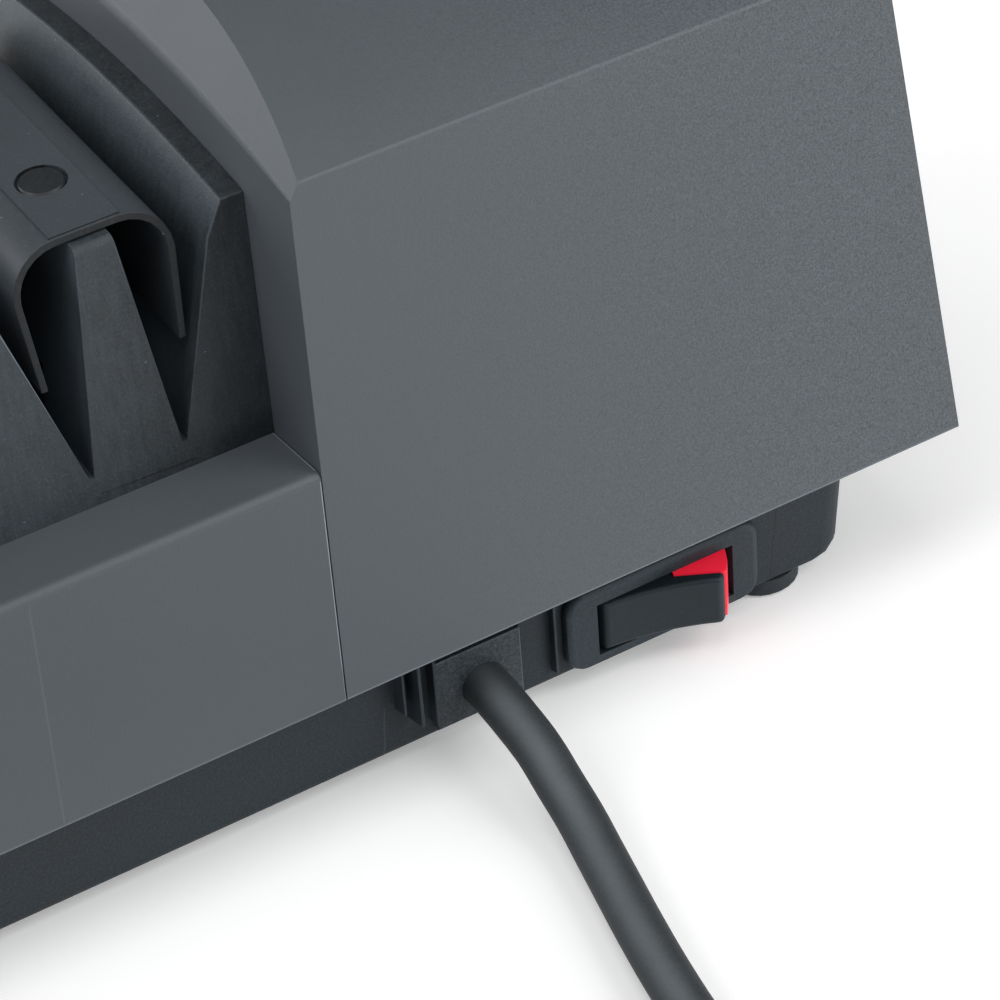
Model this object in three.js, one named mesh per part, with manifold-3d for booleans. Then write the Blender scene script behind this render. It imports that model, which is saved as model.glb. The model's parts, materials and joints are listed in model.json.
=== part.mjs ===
// Electric knife sharpener with three knife stages, in millimetres, +Z up.
// The origin lies on the table under the middle of the housing. X runs along the length,
// the motor end is at +X, and the side with the switch and the cord faces -Y.
import * as THREE from 'three';
import { mergeVertices } from 'three/addons/utils/BufferGeometryUtils.js';
import Module from 'manifold-3d';

const wasm = await Module();
wasm.setup();

// Clearances and counts that every piece shares.
const fit = { gap: 0.3, slide: 0.4, overrun: 6 };
const facets = { arch: 28, corner: 4, bend: 6, round: 24, small: 14, tiny: 10 };
const cordFacets = { ring: 10, coilRing: 6, coilTurn: 24, wireRing: 5, wireTurn: 8 };

// Leans and slopes, as sideways travel for each millimetre of height unless it says otherwise.
const sideLean = 0.124;
const endLean = 0.08;
const baseEndLean = 0.1;
const slotWallLean = 0.056;
const guideLean = 0.3;
const postLean = 0.116;
const insertLean = 0.137;
const bevelSteepness = 1.33;
const ridgeSteepness = 1.74;

// Outer housing: two end covers and two panels between them.
const housing = {
  length: 254,
  depth: 102,
  seamHeight: 23.7,
  creaseHeight: 100,
  crownRise: 9.8,
  bevelRise: 1.9,
  wall: 2.6,
  archRadius: 240,
  shaftNotch: 14,
};
const ledge = { height: 58.9, drop: 1.2, rounding: 1.3 };

// Knife stages, counted from the motor end.
const stages = { count: 3, pitch: 38.6, firstCentre: 8.8, toWall: 17.4 };
const insert = {
  bottom: 52,
  foot: 34,
  footHeight: 57.7,
  notchHalf: 7.15,
  notchHeight: 61.7,
  ridgeCrown: 94.5,
  ridgeBevel: 2.4,
  ridgeSpare: 1,
  postTopHalf: 2.7,
  postRounding: 1.6,
  wall: 2.5,
  floor: 2.8,
  hollowTip: 1.6,
  chamberHalf: 7.4,
};
const guideSpring = {
  under: 93.85,
  sheet: 1,
  half: 11.4,
  endHalf: 10.4,
  endHeight: 75,
  corner: 7,
  setBack: 1.6,
  stripWidth: 9.9,
  stripRise: 0.15,
  stripSetBack: 0.4,
};
const springPin = {
  reach: 14.8,
  headRadius: 3.2,
  headHeight: 0.7,
  headEdge: 0.3,
  dome: 0.15,
  shankRadius: 1.5,
  length: 10,
};

// Base tray and what sits in it.
const base = {
  endInset: 11.7,
  sideInset: 7.7,
  bottom: 3,
  floor: 2.5,
  wall: 2.5,
  planCorner: 5,
  endCorner: 2.4,
  edgeCorner: 1,
  flangeRise: 1.2,
  flange: 2.4,
};
// Heights of the rings that round the tray's lower edges, as shares of the larger rounding.
const roundingShares = [0, 0.04, 0.14, 0.32, 0.6, 1];
const bezel = { left: 64, right: 96.4, bottom: 4, top: 17.6, rise: 1.7, corner: 3 };
const rocker = {
  x: 80.4,
  inset: 2.3,
  bottom: 6,
  top: 14.3,
  reach: 10.95,
  endDepth: 6.85,
  dish: 0.9,
  back: 2.6,
  flagStart: 2.4,
  flagDepth: 3.5,
  flagEndDepth: 5.4,
  trunnionRadius: 1.2,
  trunnion: 1,
};
const rockerTilt = 16;
const switchBody = { lip: 1, depth: 20, cavity: 8 };
const cordPlate = {
  left: 43.4,
  right: 56.8,
  bottom: 4.4,
  top: 16.2,
  headroom: 0.9,
  rise: 1,
  flange: 1.2,
  lip: 1.6,
};
const cordClamp = { width: 14, depth: 10, top: 15.2, coreRadius: 2.2 };
// Ribs beside the cord plate: x, width, lowest point and how far each stands out.
const wallRibs = [
  { x: 36.9, width: 0.4, bottom: 10.8, rise: 2.8 },
  { x: 38.8, width: 0.5, bottom: 8.2, rise: 4 },
  { x: 42.1, width: 0.4, bottom: 6.1, rise: 2.2 },
  { x: 62, width: 0.4, bottom: 5, rise: 1.4 },
];
const ribSlopeShare = 0.28;
const foot = { endInset: 14.3, sideInset: 5.9, radius: 5.9, crown: 0.5, stemRadius: 2.2, stemLength: 4 };
const corner = {
  endInset: 23,
  sideInset: 25.5,
  postRadius: 4.5,
  bossRadius: 4,
  postTop: 26,
  headRadius: 3.2,
  headHeight: 2.4,
  headEdge: 0.8,
  headSeat: 20,
  shankRadius: 1.4,
  shankLength: 16,
};
const vents = { count: 5, x: 62, pitch: 6, width: 3, half: 12 };
const magnet = { depth: 16, height: 4, half: 45 };

// Drive train on one long shaft.
const shaft = { height: 45, radius: 3, farInset: 20, nearInset: 15, ringRadius: 4.8, ring: 0.9 };
const stator = {
  left: 58,
  right: 86,
  half: 24,
  boreRadius: 13.4,
  skirt: 6,
  top: 84,
  window: 11,
  windowHalf: 14,
  cradleInset: 22.3,
};
const rotorCore = { radius: 12.9, ringRadius: 12.2, ring: 2 };
const bobbin = { tube: 1.2, flange: 1, winding: 7.6 };
const bracket = { reach: 12, plate: 3, leg: 8.4, half: 7, bossRadius: 7.5, bossOut: 2.6, bossIn: 5.4 };
const bush = { radius: 5, length: 7 };
const motorScrew = { y: 20, radius: 1.7, headRadius: 3, head: 2.2 };
const fan = { endInset: 25, hubRadius: 6, sideInset: 31, width: 6, blade: 1.2, count: 8 };
const fanPitch = 35;
const pillar = { endInset: 28, thickness: 8, footHalf: 15, headRadius: 9 };
const disc = { radius: 23, hubRadius: 6.5, hubInner: 1.6, backInner: 3.1, face: 6.3, knee: 16.5, rim: 4.7 };
const discSpring = { wire: 0.9, radius: 8.6, curls: 2 };

// Mains cord: a hand-laid stretch, a coil of two layers, and a tail that ends in the plug.
const cord = { radius: 3.45, exitX: 50.5, exitHeight: 9.4, clampDepth: 5, step: 13.8, lead: 5 };
const coil = { x: -7, forward: 116.7, radius: 38, turns: 5.25, spacing: 7.5, lie: 3.5 };
const plug = {
  reach: 92.1,
  length: 30,
  shoulder: 16.5,
  width: 22,
  height: 14,
  rear: 13,
  sleeve: 26,
  sleeveRoot: 6.5,
  sleeveEnd: 4.3,
};
const blade = { length: 17.5, height: 6.3, thickness: 1.5, spacing: 12.7, tip: 1.2 };

const finishes = {
  slate: { color: 0x62686b, roughness: 0.55, metalness: 0 },
  black: { color: 0x2c3032, roughness: 0.6, metalness: 0 },
  springGrey: { color: 0x3c4144, roughness: 0.5, metalness: 0 },
  red: { color: 0xd81f3c, roughness: 0.45, metalness: 0 },
  rubber: { color: 0x1d1f20, roughness: 0.85, metalness: 0 },
  cord: { color: 0x3f464a, roughness: 0.6, metalness: 0 },
  steel: { color: 0xa9adb0, roughness: 0.35, metalness: 1 },
  iron: { color: 0x6d7073, roughness: 0.5, metalness: 1 },
  alloy: { color: 0xc3c6c8, roughness: 0.45, metalness: 1 },
  copper: { color: 0xb5693a, roughness: 0.4, metalness: 1 },
  brass: { color: 0xc9a65a, roughness: 0.3, metalness: 1 },
  nylon: { color: 0xe6e1d2, roughness: 0.6, metalness: 0 },
  diamond: { color: 0x8d8f8c, roughness: 0.7, metalness: 0.7 },
  polisher: { color: 0x7c6a4e, roughness: 0.8, metalness: 0 },
};

const model = new THREE.Group();

function piece(name, shape, finish) {
  const geometry = shape.isBufferGeometry ? shape : geometryOf(shape);
  geometry.computeVertexNormals();
  const mesh = new THREE.Mesh(geometry, new THREE.MeshStandardMaterial(finishes[finish]));
  mesh.name = name;
  model.add(mesh);
}

// Solids: a closed geometry becomes one that can be joined and cut, and turns back into a geometry.
function solid(geometry) {
  geometry.deleteAttribute('normal');
  geometry.deleteAttribute('uv');
  const merged = mergeVertices(geometry);
  const vertProperties = new Float32Array(merged.getAttribute('position').array);
  const triVerts = new Uint32Array(merged.getIndex().array);
  return new wasm.Manifold(new wasm.Mesh({ numProp: 3, vertProperties, triVerts }));
}

function geometryOf(shape) {
  const mesh = shape.getMesh();
  const geometry = new THREE.BufferGeometry();
  geometry.setAttribute('position', new THREE.BufferAttribute(new Float32Array(mesh.vertProperties), 3));
  geometry.setIndex(new THREE.BufferAttribute(new Uint32Array(mesh.triVerts), 1));
  return geometry;
}

const join = (shapes) => shapes.reduce((sum, shape) => sum.add(shape));
const cut = (shape, tools) => tools.reduce((rest, tool) => rest.subtract(tool), shape);

// Outlines are drawn as [y, z] for a prism along x, [x, z] along y and [x, y] along z.
const X = new THREE.Vector3(1, 0, 0);
const Y = new THREE.Vector3(0, 1, 0);
const Z = new THREE.Vector3(0, 0, 1);
const outlineFrames = {
  x: new THREE.Matrix4().makeBasis(Y, Z, X),
  y: new THREE.Matrix4().makeBasis(X, Z, Y.clone().negate()),
  z: new THREE.Matrix4().makeBasis(X, Y, Z),
};
const axisVectors = { x: X, y: Y, z: Z };

function prism(axis, outline, from, to) {
  const shape = new THREE.Shape(outline.map(([a, b]) => new THREE.Vector2(a, b)));
  const geometry = new THREE.ExtrudeGeometry(shape, { depth: to - from, bevelEnabled: false });
  geometry.applyMatrix4(outlineFrames[axis]);
  const start = axisVectors[axis].clone().multiplyScalar(axis === 'y' ? to : from);
  geometry.translate(start.x, start.y, start.z);
  return solid(geometry);
}

function block([x0, x1], [y0, y1], [z0, z1]) {
  const geometry = new THREE.BoxGeometry(x1 - x0, y1 - y0, z1 - z0);
  geometry.translate((x0 + x1) / 2, (y0 + y1) / 2, (z0 + z1) / 2);
  return solid(geometry);
}

// A turned piece: its profile is [radius, place along the axis], and centre gives the axis line.
const spinFrames = {
  x: new THREE.Matrix4().makeBasis(Y, X, Z.clone().negate()),
  y: new THREE.Matrix4(),
  z: new THREE.Matrix4().makeBasis(X, Z, Y.clone().negate()),
};

function turned(axis, profile, centre, sides = facets.round) {
  const points = profile.map(([radius, along]) => new THREE.Vector2(radius, along));
  const geometry = new THREE.LatheGeometry(points, sides);
  geometry.applyMatrix4(spinFrames[axis]);
  geometry.translate(centre[0], centre[1], centre[2]);
  return outward(geometry);
}

// A solid whose faces look outward whichever way round its triangles were listed.
function outward(geometry) {
  const body = solid(geometry);
  return body.volume() < 0 ? solid(flipped(geometry)) : body;
}

function flipped(geometry) {
  const order = mergeVertices(geometry);
  const index = order.getIndex();
  for (let i = 0; i < index.count; i += 3) {
    const first = index.getX(i);
    index.setX(i, index.getX(i + 1));
    index.setX(i + 1, first);
  }
  return order;
}

function rod(axis, radius, from, to, centre, sides = facets.small) {
  return turned(axis, [[0, from], [radius, from], [radius, to], [0, to]], centre, sides);
}

function tube(axis, inner, outer, from, to, centre, sides = facets.small) {
  const profile = [[inner, from], [outer, from], [outer, to], [inner, to], [inner, from]];
  return turned(axis, profile, centre, sides);
}

// A solid skinned over closed rings of points, all with the same count, with flat caps at both ends.
function lofted(rings) {
  const count = rings[0].length;
  const last = (rings.length - 1) * count;
  const triangles = [];
  for (let here = 0; here < last; here += 1) {
    const next = (here + 1) % count === 0 ? here + 1 - count : here + 1;
    triangles.push(here, next, next + count, here, next + count, here + count);
  }
  for (let k = 1; k < count - 1; k += 1) {
    triangles.push(0, k + 1, k, last, last + k, last + k + 1);
  }
  const geometry = new THREE.BufferGeometry();
  geometry.setAttribute('position', new THREE.Float32BufferAttribute(rings.flat(2), 3));
  geometry.setIndex(triangles);
  return outward(geometry);
}

// Points of a rounded rectangle; corners lists the radii from the lower left, anticlockwise.
function roundedOutline([x0, x1], [y0, y1], corners) {
  const centres = [
    [x0, y0, 1, 1, Math.PI],
    [x1, y0, -1, 1, 1.5 * Math.PI],
    [x1, y1, -1, -1, 0],
    [x0, y1, 1, -1, 0.5 * Math.PI],
  ];
  return centres.flatMap(([x, y, towardsX, towardsY, start], i) => {
    const radius = corners[i];
    if (radius === 0) return [[x, y]];
    return arcPoints([x + towardsX * radius, y + towardsY * radius], radius, start, start + Math.PI / 2);
  });
}

function arcPoints([x, y], radius, from, to, steps = facets.corner) {
  return Array.from({ length: steps + 1 }, (_, i) => {
    const angle = from + ((to - from) * i) / steps;
    return [x + radius * Math.cos(angle), y + radius * Math.sin(angle)];
  });
}

// The housing's cross-section across its length, set in from the outer skin by a wall.
const halfLength = housing.length / 2;
const halfDepth = housing.depth / 2;
const crownHeight = housing.creaseHeight + housing.crownRise;
const bevelCrown = housing.creaseHeight + housing.bevelRise;
const baseHalfLength = halfLength - base.endInset;
const baseHalfDepth = halfDepth - base.sideInset;
const sideSecant = Math.hypot(1, sideLean);

function sideAt(z, inset) {
  return halfDepth - sideLean * (z - housing.seamHeight) - inset * sideSecant;
}

function housingSection(inset, bottom) {
  const creaseHalf = sideAt(housing.creaseHeight, 0);
  const rise = housing.crownRise;
  const radius = (creaseHalf ** 2 + rise ** 2) / (2 * rise);
  const middle = crownHeight - radius;
  const reach = radius - inset;
  const intercept = sideAt(0, inset);
  const half = intercept * sideLean + middle;
  const rest = intercept ** 2 + middle ** 2 - reach ** 2;
  const crease = (half + Math.sqrt(half ** 2 - sideSecant ** 2 * rest)) / sideSecant ** 2;
  const spread = Math.acos((crease - middle) / reach);
  const arch = arcPoints([0, middle], reach, Math.PI / 2 - spread, Math.PI / 2 + spread, facets.arch);
  return [[-sideAt(bottom, inset), bottom], [sideAt(bottom, inset), bottom], ...arch];
}

// An end block seen from the front. side is 1 at the motor end and -1 at the other.
const wallFoot = { right: stages.firstCentre + stages.toWall };
wallFoot.left = stages.toWall - (stages.firstCentre - (stages.count - 1) * stages.pitch);

function slotWallAt(side, z) {
  const footX = side > 0 ? wallFoot.right : wallFoot.left;
  return side * (footX + slotWallLean * (z - housing.seamHeight));
}

function endWallAt(side, z, inset) {
  return side * (halfLength - endLean * (z - housing.seamHeight) - inset * Math.hypot(1, endLean));
}

function endBlockOutline(side, inset, bottom) {
  const top = crownHeight + fit.overrun;
  const skin = side * inset * Math.hypot(1, slotWallLean);
  return [
    [slotWallAt(side, bottom) + skin, bottom],
    [endWallAt(side, bottom, inset), bottom],
    [endWallAt(side, top, inset), top],
    [slotWallAt(side, top) + skin, top],
  ];
}

// A tool that cuts everything above a low arch across the depth; the arch climbs away from startX.
function archTool({ crown, radius }, startX, side, [before, after], steepness) {
  const half = halfDepth + fit.overrun;
  const spread = Math.asin(half / radius);
  const angles = [Math.PI / 2 + spread, Math.PI / 2 - spread];
  const arch = arcPoints([0, crown - radius], radius, ...angles, facets.arch);
  const top = crown + crownHeight;
  const outline = [...arch, [half, top], [-half, top]];
  const ends = [startX - side * before, startX + side * after].sort((a, b) => a - b);
  const shape = new THREE.Shape(outline.map(([a, b]) => new THREE.Vector2(a, b)));
  const geometry = new THREE.ExtrudeGeometry(shape, { depth: ends[1] - ends[0], bevelEnabled: false });
  geometry.applyMatrix4(outlineFrames.x);
  geometry.translate(ends[0] - startX, 0, 0);
  geometry.applyMatrix4(new THREE.Matrix4().makeShear(0, side * steepness, 0, 0, 0, 0));
  geometry.translate(startX, 0, 0);
  return solid(geometry);
}

function blockSolid(side, inset, bottom) {
  const across = halfDepth + fit.overrun;
  const along = halfLength + fit.overrun;
  const section = prism('x', housingSection(inset, bottom), -along, along);
  const outline = prism('y', endBlockOutline(side, inset, bottom), -across, across);
  const crown = bevelCrown - inset * Math.hypot(1, bevelSteepness);
  const start = slotWallAt(side, bevelCrown);
  const arch = { crown, radius: housing.archRadius };
  const bevel = archTool(arch, start, side, [fit.overrun, crownHeight - crown], bevelSteepness);
  return section.intersect(outline).subtract(bevel);
}

const cornerPlace = { x: halfLength - corner.endInset, y: halfDepth - corner.sideInset };
const flangeBottom = housing.seamHeight + base.flangeRise;
const flangeTop = flangeBottom + base.flange;

function endCover(side) {
  const inner = blockSolid(side, housing.wall, housing.seamHeight - fit.overrun);
  const boss = join([-1, 1].map((face) => {
    const centre = [side * cornerPlace.x, face * cornerPlace.y, 0];
    return rod('z', corner.bossRadius, corner.postTop + fit.gap, crownHeight, centre);
  }));
  const outer = blockSolid(side, 0, housing.seamHeight);
  const shell = outer.subtract(inner).add(boss.intersect(outer));
  const pilots = [-1, 1].map((face) => {
    const centre = [side * cornerPlace.x, face * cornerPlace.y, 0];
    const top = corner.headSeat + corner.shankLength + fit.gap;
    return rod('z', corner.shankRadius + fit.gap, corner.postTop - fit.overrun, top, centre);
  });
  return cut(shell, [...pilots, ...slotWallCuts(side)]);
}

// The slot wall stands over the base's flange and straddles the shaft.
function slotWallCuts(side) {
  const inner = slotWallAt(side, housing.seamHeight);
  const span = [inner - fit.overrun, inner + fit.overrun];
  const clear = flangeTop + fit.gap;
  const under = prism('x', housingSection(housing.wall, housing.seamHeight - fit.overrun), span[0], span[1]);
  const slab = block(span, [-halfDepth, halfDepth], [housing.seamHeight - fit.overrun, clear]);
  const notchHalf = housing.shaftNotch / 2;
  const notch = block(span, [-notchHalf, notchHalf], [housing.seamHeight - fit.overrun, shaft.height]);
  return [under.intersect(slab), notch, rod('x', notchHalf, span[0], span[1], [0, 0, shaft.height])];
}

piece('right_end_cover', endCover(1), 'slate');
piece('left_end_cover', endCover(-1), 'slate');

// Panels between the end covers, each with a ledge that meets the slot insert.
const insertFaceAt = (z) => insert.foot - insertLean * (z - insert.footHeight);
const ledgeInner = ledge.height - ledge.drop;

function spanOutline(bottom, top, clear) {
  return [
    [slotWallAt(-1, bottom) + clear, bottom],
    [slotWallAt(1, bottom) - clear, bottom],
    [slotWallAt(1, top) - clear, top],
    [slotWallAt(-1, top) + clear, top],
  ];
}

function panel(face) {
  const bottom = housing.seamHeight;
  const edge = sideAt(ledge.height, 0);
  const tilt = ledge.drop / (edge - insert.foot);
  const sideAngle = Math.atan(sideLean);
  const topAngle = Math.PI / 2 + Math.atan(tilt);
  const fillet = ledge.rounding * Math.tan((topAngle - sideAngle) / 2);
  const centre = [
    edge + (fillet * sideLean - ledge.rounding) / sideSecant,
    ledge.height - (fillet + ledge.rounding * sideLean) / sideSecant,
  ];
  const under = ledgeInner - housing.wall;
  const innerTop = ledge.height - housing.wall;
  const outline = [
    [sideAt(bottom, 0), bottom],
    ...arcPoints(centre, ledge.rounding, sideAngle, topAngle),
    [insertFaceAt(ledgeInner) + fit.gap, ledgeInner],
    [insertFaceAt(under) + fit.gap, under],
    [sideAt(innerTop, housing.wall), innerTop],
    [sideAt(bottom, housing.wall), bottom],
  ];
  const left = slotWallAt(-1, ledge.height) - fit.overrun;
  const right = slotWallAt(1, ledge.height) + fit.overrun;
  const body = prism('x', outline.map(([y, z]) => [face * y, z]), left, right);
  const ends = spanOutline(bottom - fit.overrun, ledge.height + fit.overrun, fit.gap);
  return body.intersect(prism('y', ends, -halfDepth - fit.overrun, halfDepth + fit.overrun));
}

piece('front_panel', panel(-1), 'slate');
piece('rear_panel', panel(1), 'slate');

// Slot insert: ridges with sloping knife guides, a hollow post in each stage, and the notches between.
const stageCentres = Array.from({ length: stages.count }, (_, i) => stages.firstCentre - i * stages.pitch);
const guideAt = (z) => insert.notchHalf + guideLean * (z - insert.notchHeight);
const postTop = guideSpring.under - fit.gap;
const chamberTop = shaft.height + disc.radius + insert.wall;
const insertInner = [-insertFaceAt(insert.ridgeCrown) + insert.wall, insert.foot - insert.wall];

// A long bar between the insert's leaning front and upright rear, set in and with rounded top edges.
function faceBar(bottom, top, setBack, rounding) {
  const sideUp = (reachAt) => {
    const centre = [reachAt(top - rounding) - rounding, top - rounding];
    const edge = rounding > 0 ? arcPoints(centre, rounding, 0, Math.PI / 2) : [[reachAt(top), top]];
    return [[reachAt(bottom), bottom], ...edge];
  };
  const rear = sideUp(() => insert.foot - setBack);
  const front = sideUp((z) => insertFaceAt(z) - setBack);
  const outline = [...rear, ...front.map(([y, z]) => [-y, z]).reverse()];
  return prism('x', outline, -halfLength, halfLength);
}

function ridgeOutline() {
  const top = insert.ridgeCrown + insert.ridgeSpare;
  const valleys = [...stageCentres].reverse().flatMap((x) => [
    [x - guideAt(top), top],
    [x - insert.notchHalf, insert.notchHeight],
    [x + insert.notchHalf, insert.notchHeight],
    [x + guideAt(top), top],
  ]);
  return [
    [slotWallAt(-1, insert.bottom) + fit.gap, insert.bottom],
    [slotWallAt(-1, top) + fit.gap, top],
    ...valleys,
    [slotWallAt(1, top) - fit.gap, top],
    [slotWallAt(1, insert.bottom) - fit.gap, insert.bottom],
  ];
}

function postOutline(x) {
  const foot = insert.postTopHalf + postLean * (postTop - insert.notchHeight + insert.floor);
  const bottom = insert.notchHeight - insert.floor;
  return [
    [x - foot, bottom],
    [x + foot, bottom],
    [x + insert.postTopHalf, postTop],
    [x - insert.postTopHalf, postTop],
  ];
}

// Hollows under the ridges: between two stages, and beside each end cover.
function ridgeHollows() {
  const skin = insert.wall * Math.hypot(1, guideLean);
  const bottom = insert.notchHeight - insert.floor;
  const between = stageCentres.slice(1).map((x) => {
    const middle = x + stages.pitch / 2;
    const halfAt = (z) => stages.pitch / 2 - guideAt(z) - skin;
    const tip = insert.hollowTip / 2;
    const top = bottom + (halfAt(bottom) - tip) / guideLean;
    return [
      [middle - halfAt(bottom), bottom],
      [middle + halfAt(bottom), bottom],
      [middle + tip, top],
      [middle - tip, top],
    ];
  });
  const beside = [[1, stageCentres[0]], [-1, stageCentres[stages.count - 1]]].map(([side, x]) => {
    const guideX = (z) => side * x + guideAt(z) + skin;
    const wallX = (z) => side * slotWallAt(side, z) - fit.gap - insert.wall;
    const top = bottom + (wallX(bottom) - guideX(bottom) - insert.hollowTip) / (guideLean - slotWallLean);
    return [
      [side * guideX(bottom), bottom],
      [side * wallX(bottom), bottom],
      [side * wallX(top), top],
      [side * guideX(top), top],
    ];
  });
  return [...between, ...beside].map((outline) => prism('y', outline, ...insertInner));
}

// The bevels along the ridges rise and fall with the arch of the crown.
function ridgeBevels() {
  const crown = insert.ridgeCrown - insert.ridgeBevel;
  const arch = { crown, radius: housing.archRadius };
  const spread = [guideAt(crown) - insert.postTopHalf, insert.ridgeBevel];
  return stageCentres.flatMap((x) => [-1, 1].map((side) => {
    return archTool(arch, x + side * guideAt(crown), side, spread, ridgeSteepness);
  }));
}

function slotInsert() {
  const across = [-halfDepth, halfDepth];
  const ridgeTop = insert.ridgeCrown + insert.ridgeSpare;
  const ridgeBar = faceBar(insert.bottom, ridgeTop, 0, 0);
  const ridges = prism('y', ridgeOutline(), ...across).intersect(ridgeBar);
  const arch = { crown: insert.ridgeCrown, radius: housing.archRadius };
  const crownTool = archTool(arch, 0, 1, [halfLength, halfLength], 0);
  const posts = join(stageCentres.map((x) => prism('y', postOutline(x), ...across)));
  const postBar = faceBar(insert.bottom, postTop, 0, insert.postRounding);
  const skin = fit.gap + insert.wall;
  const underside = block(
    [slotWallAt(-1, insert.bottom) + skin, slotWallAt(1, insert.bottom) - skin],
    insertInner,
    [insert.bottom - fit.overrun, insert.notchHeight - insert.floor],
  );
  const chambers = stageCentres.map((x) => {
    const half = Math.sqrt(disc.radius ** 2 - (insert.notchHeight - insert.floor - shaft.height) ** 2);
    return block(
      [x - insert.chamberHalf, x + insert.chamberHalf],
      [-half - fit.slide, half + fit.slide],
      [insert.bottom, chamberTop],
    );
  });
  const pinHoles = stageCentres.flatMap((x) => [-1, 1].map((face) => {
    const bottom = guideSpring.under - springPin.length - fit.gap;
    const centre = [x, face * springPin.reach, 0];
    return rod('z', springPin.shankRadius + fit.gap, bottom, postTop + fit.overrun, centre, facets.tiny);
  }));
  const bevelled = cut(ridges, [crownTool, ...ridgeBevels()]);
  const body = bevelled.add(posts.intersect(postBar));
  return cut(body, [underside, ...ridgeHollows(), ...chambers, ...pinHoles]);
}

piece('slot_insert', slotInsert(), 'black');

// Guide springs: a sheet bent into a U over each post, with a raised strip along its top.
const sheetTop = guideSpring.under + guideSpring.sheet;
const stripTop = sheetTop + guideSpring.stripRise;
const pinSeat = stripTop - springPin.headHeight;

function mirroredOutline(right, x) {
  const left = right.map(([a, b]) => [-a, b]).reverse();
  return [...right, ...left].map(([a, b]) => [x + a, b]);
}

function guideSpringShape(x) {
  const corner = [guideSpring.half - guideSpring.corner, sheetTop - guideSpring.corner];
  const inner = guideSpring.corner - guideSpring.sheet;
  const bend = mirroredOutline([
    ...arcPoints(corner, guideSpring.corner, Math.PI / 2, 0, facets.bend),
    [guideSpring.endHalf, guideSpring.endHeight],
    [guideSpring.endHalf - guideSpring.sheet, guideSpring.endHeight],
    ...arcPoints(corner, inner, 0, Math.PI / 2, facets.bend),
  ], x);
  const bar = faceBar(guideSpring.endHeight - fit.overrun, stripTop, guideSpring.setBack, 0);
  const sheet = prism('y', bend, -halfDepth, halfDepth).intersect(bar);
  const stripHalf = guideSpring.stripWidth / 2;
  const strip = mirroredOutline([
    [stripHalf, stripTop],
    [stripHalf, sheetTop - guideSpring.sheet / 2],
  ], x);
  const stripInset = guideSpring.setBack + guideSpring.stripSetBack;
  const stripEnds = [stripInset - insertFaceAt(stripTop), insert.foot - stripInset];
  const whole = sheet.add(prism('y', strip, ...stripEnds));
  return cut(whole, [-1, 1].flatMap((face) => {
    const centre = [x, face * springPin.reach, 0];
    const shank = springPin.shankRadius + fit.gap;
    const head = springPin.headRadius + fit.gap;
    return [
      rod('z', shank, guideSpring.under - fit.overrun, stripTop + fit.overrun, centre, facets.tiny),
      rod('z', head, pinSeat, stripTop + fit.overrun, centre, facets.round),
    ];
  }));
}

function springPinShape(x, y) {
  const profile = [
    [0, guideSpring.under - springPin.length],
    [springPin.shankRadius, guideSpring.under - springPin.length],
    [springPin.shankRadius, pinSeat],
    [springPin.headRadius, pinSeat],
    [springPin.headRadius, stripTop - springPin.headEdge],
    [springPin.headRadius - springPin.headEdge, stripTop],
    [0, stripTop + springPin.dome],
  ];
  return turned('z', profile, [x, y, 0]);
}

stageCentres.forEach((x, i) => {
  piece(`guide_spring_${i + 1}`, guideSpringShape(x), 'springGrey');
  piece(`spring_pin_${i + 1}_front`, springPinShape(x, -springPin.reach), 'black');
  piece(`spring_pin_${i + 1}_rear`, springPinShape(x, springPin.reach), 'black');
});

// Base tray: a rounded tub with a flange inside the housing's rim, the switch bezel and the wall ribs.
const statorBottom = shaft.height - stator.boreRadius - stator.skirt;
const floorTop = base.bottom + base.floor;
const bezelFace = -baseHalfDepth - bezel.rise;
const switchOuter = { half: rocker.reach + fit.slide + switchBody.lip };
switchOuter.bottom = rocker.bottom - fit.slide - switchBody.lip;
switchOuter.top = rocker.top + fit.slide + switchBody.lip;
const plateSpan = [cordPlate.left, cordPlate.right];

// One level ring of the tray, whose ends lean outward; the insets shrink it at the ends and the sides.
function baseRing(z, endInset, sideInset, corner) {
  const x = baseHalfLength - baseEndLean * (flangeTop - z) - endInset;
  const y = baseHalfDepth - sideInset;
  return roundedOutline([-x, x], [-y, y], Array(4).fill(corner)).map(([a, b]) => [a, b, z]);
}

function baseOuter() {
  const insetAt = (rise, radius) => radius - Math.sqrt(radius ** 2 - Math.max(radius - rise, 0) ** 2);
  const rings = roundingShares.map((share) => {
    const rise = share * base.endCorner;
    const insets = [insetAt(rise, base.endCorner), insetAt(rise, base.edgeCorner)];
    return baseRing(base.bottom + rise, ...insets, base.planCorner);
  });
  return lofted([...rings, baseRing(flangeTop, 0, 0, base.planCorner)]);
}

function baseHollow() {
  const wall = [base.wall, base.wall, base.planCorner - base.wall];
  return lofted([baseRing(floorTop, ...wall), baseRing(flangeTop + fit.overrun, ...wall)]);
}

function baseFlange() {
  const inset = housing.wall + fit.gap;
  const plate = prism('x', housingSection(inset, flangeBottom), -halfLength, halfLength);
  const ends = [
    [endWallAt(-1, flangeBottom, inset), flangeBottom],
    [endWallAt(1, flangeBottom, inset), flangeBottom],
    [endWallAt(1, flangeTop, inset), flangeTop],
    [endWallAt(-1, flangeTop, inset), flangeTop],
  ];
  return plate.intersect(prism('y', ends, -halfDepth, halfDepth));
}

function bezelPad() {
  const corners = Array(4).fill(bezel.corner);
  const outline = roundedOutline([bezel.left, bezel.right], [bezel.bottom, bezel.top], corners);
  return prism('y', outline, bezelFace, -baseHalfDepth + base.wall / 2);
}

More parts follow.
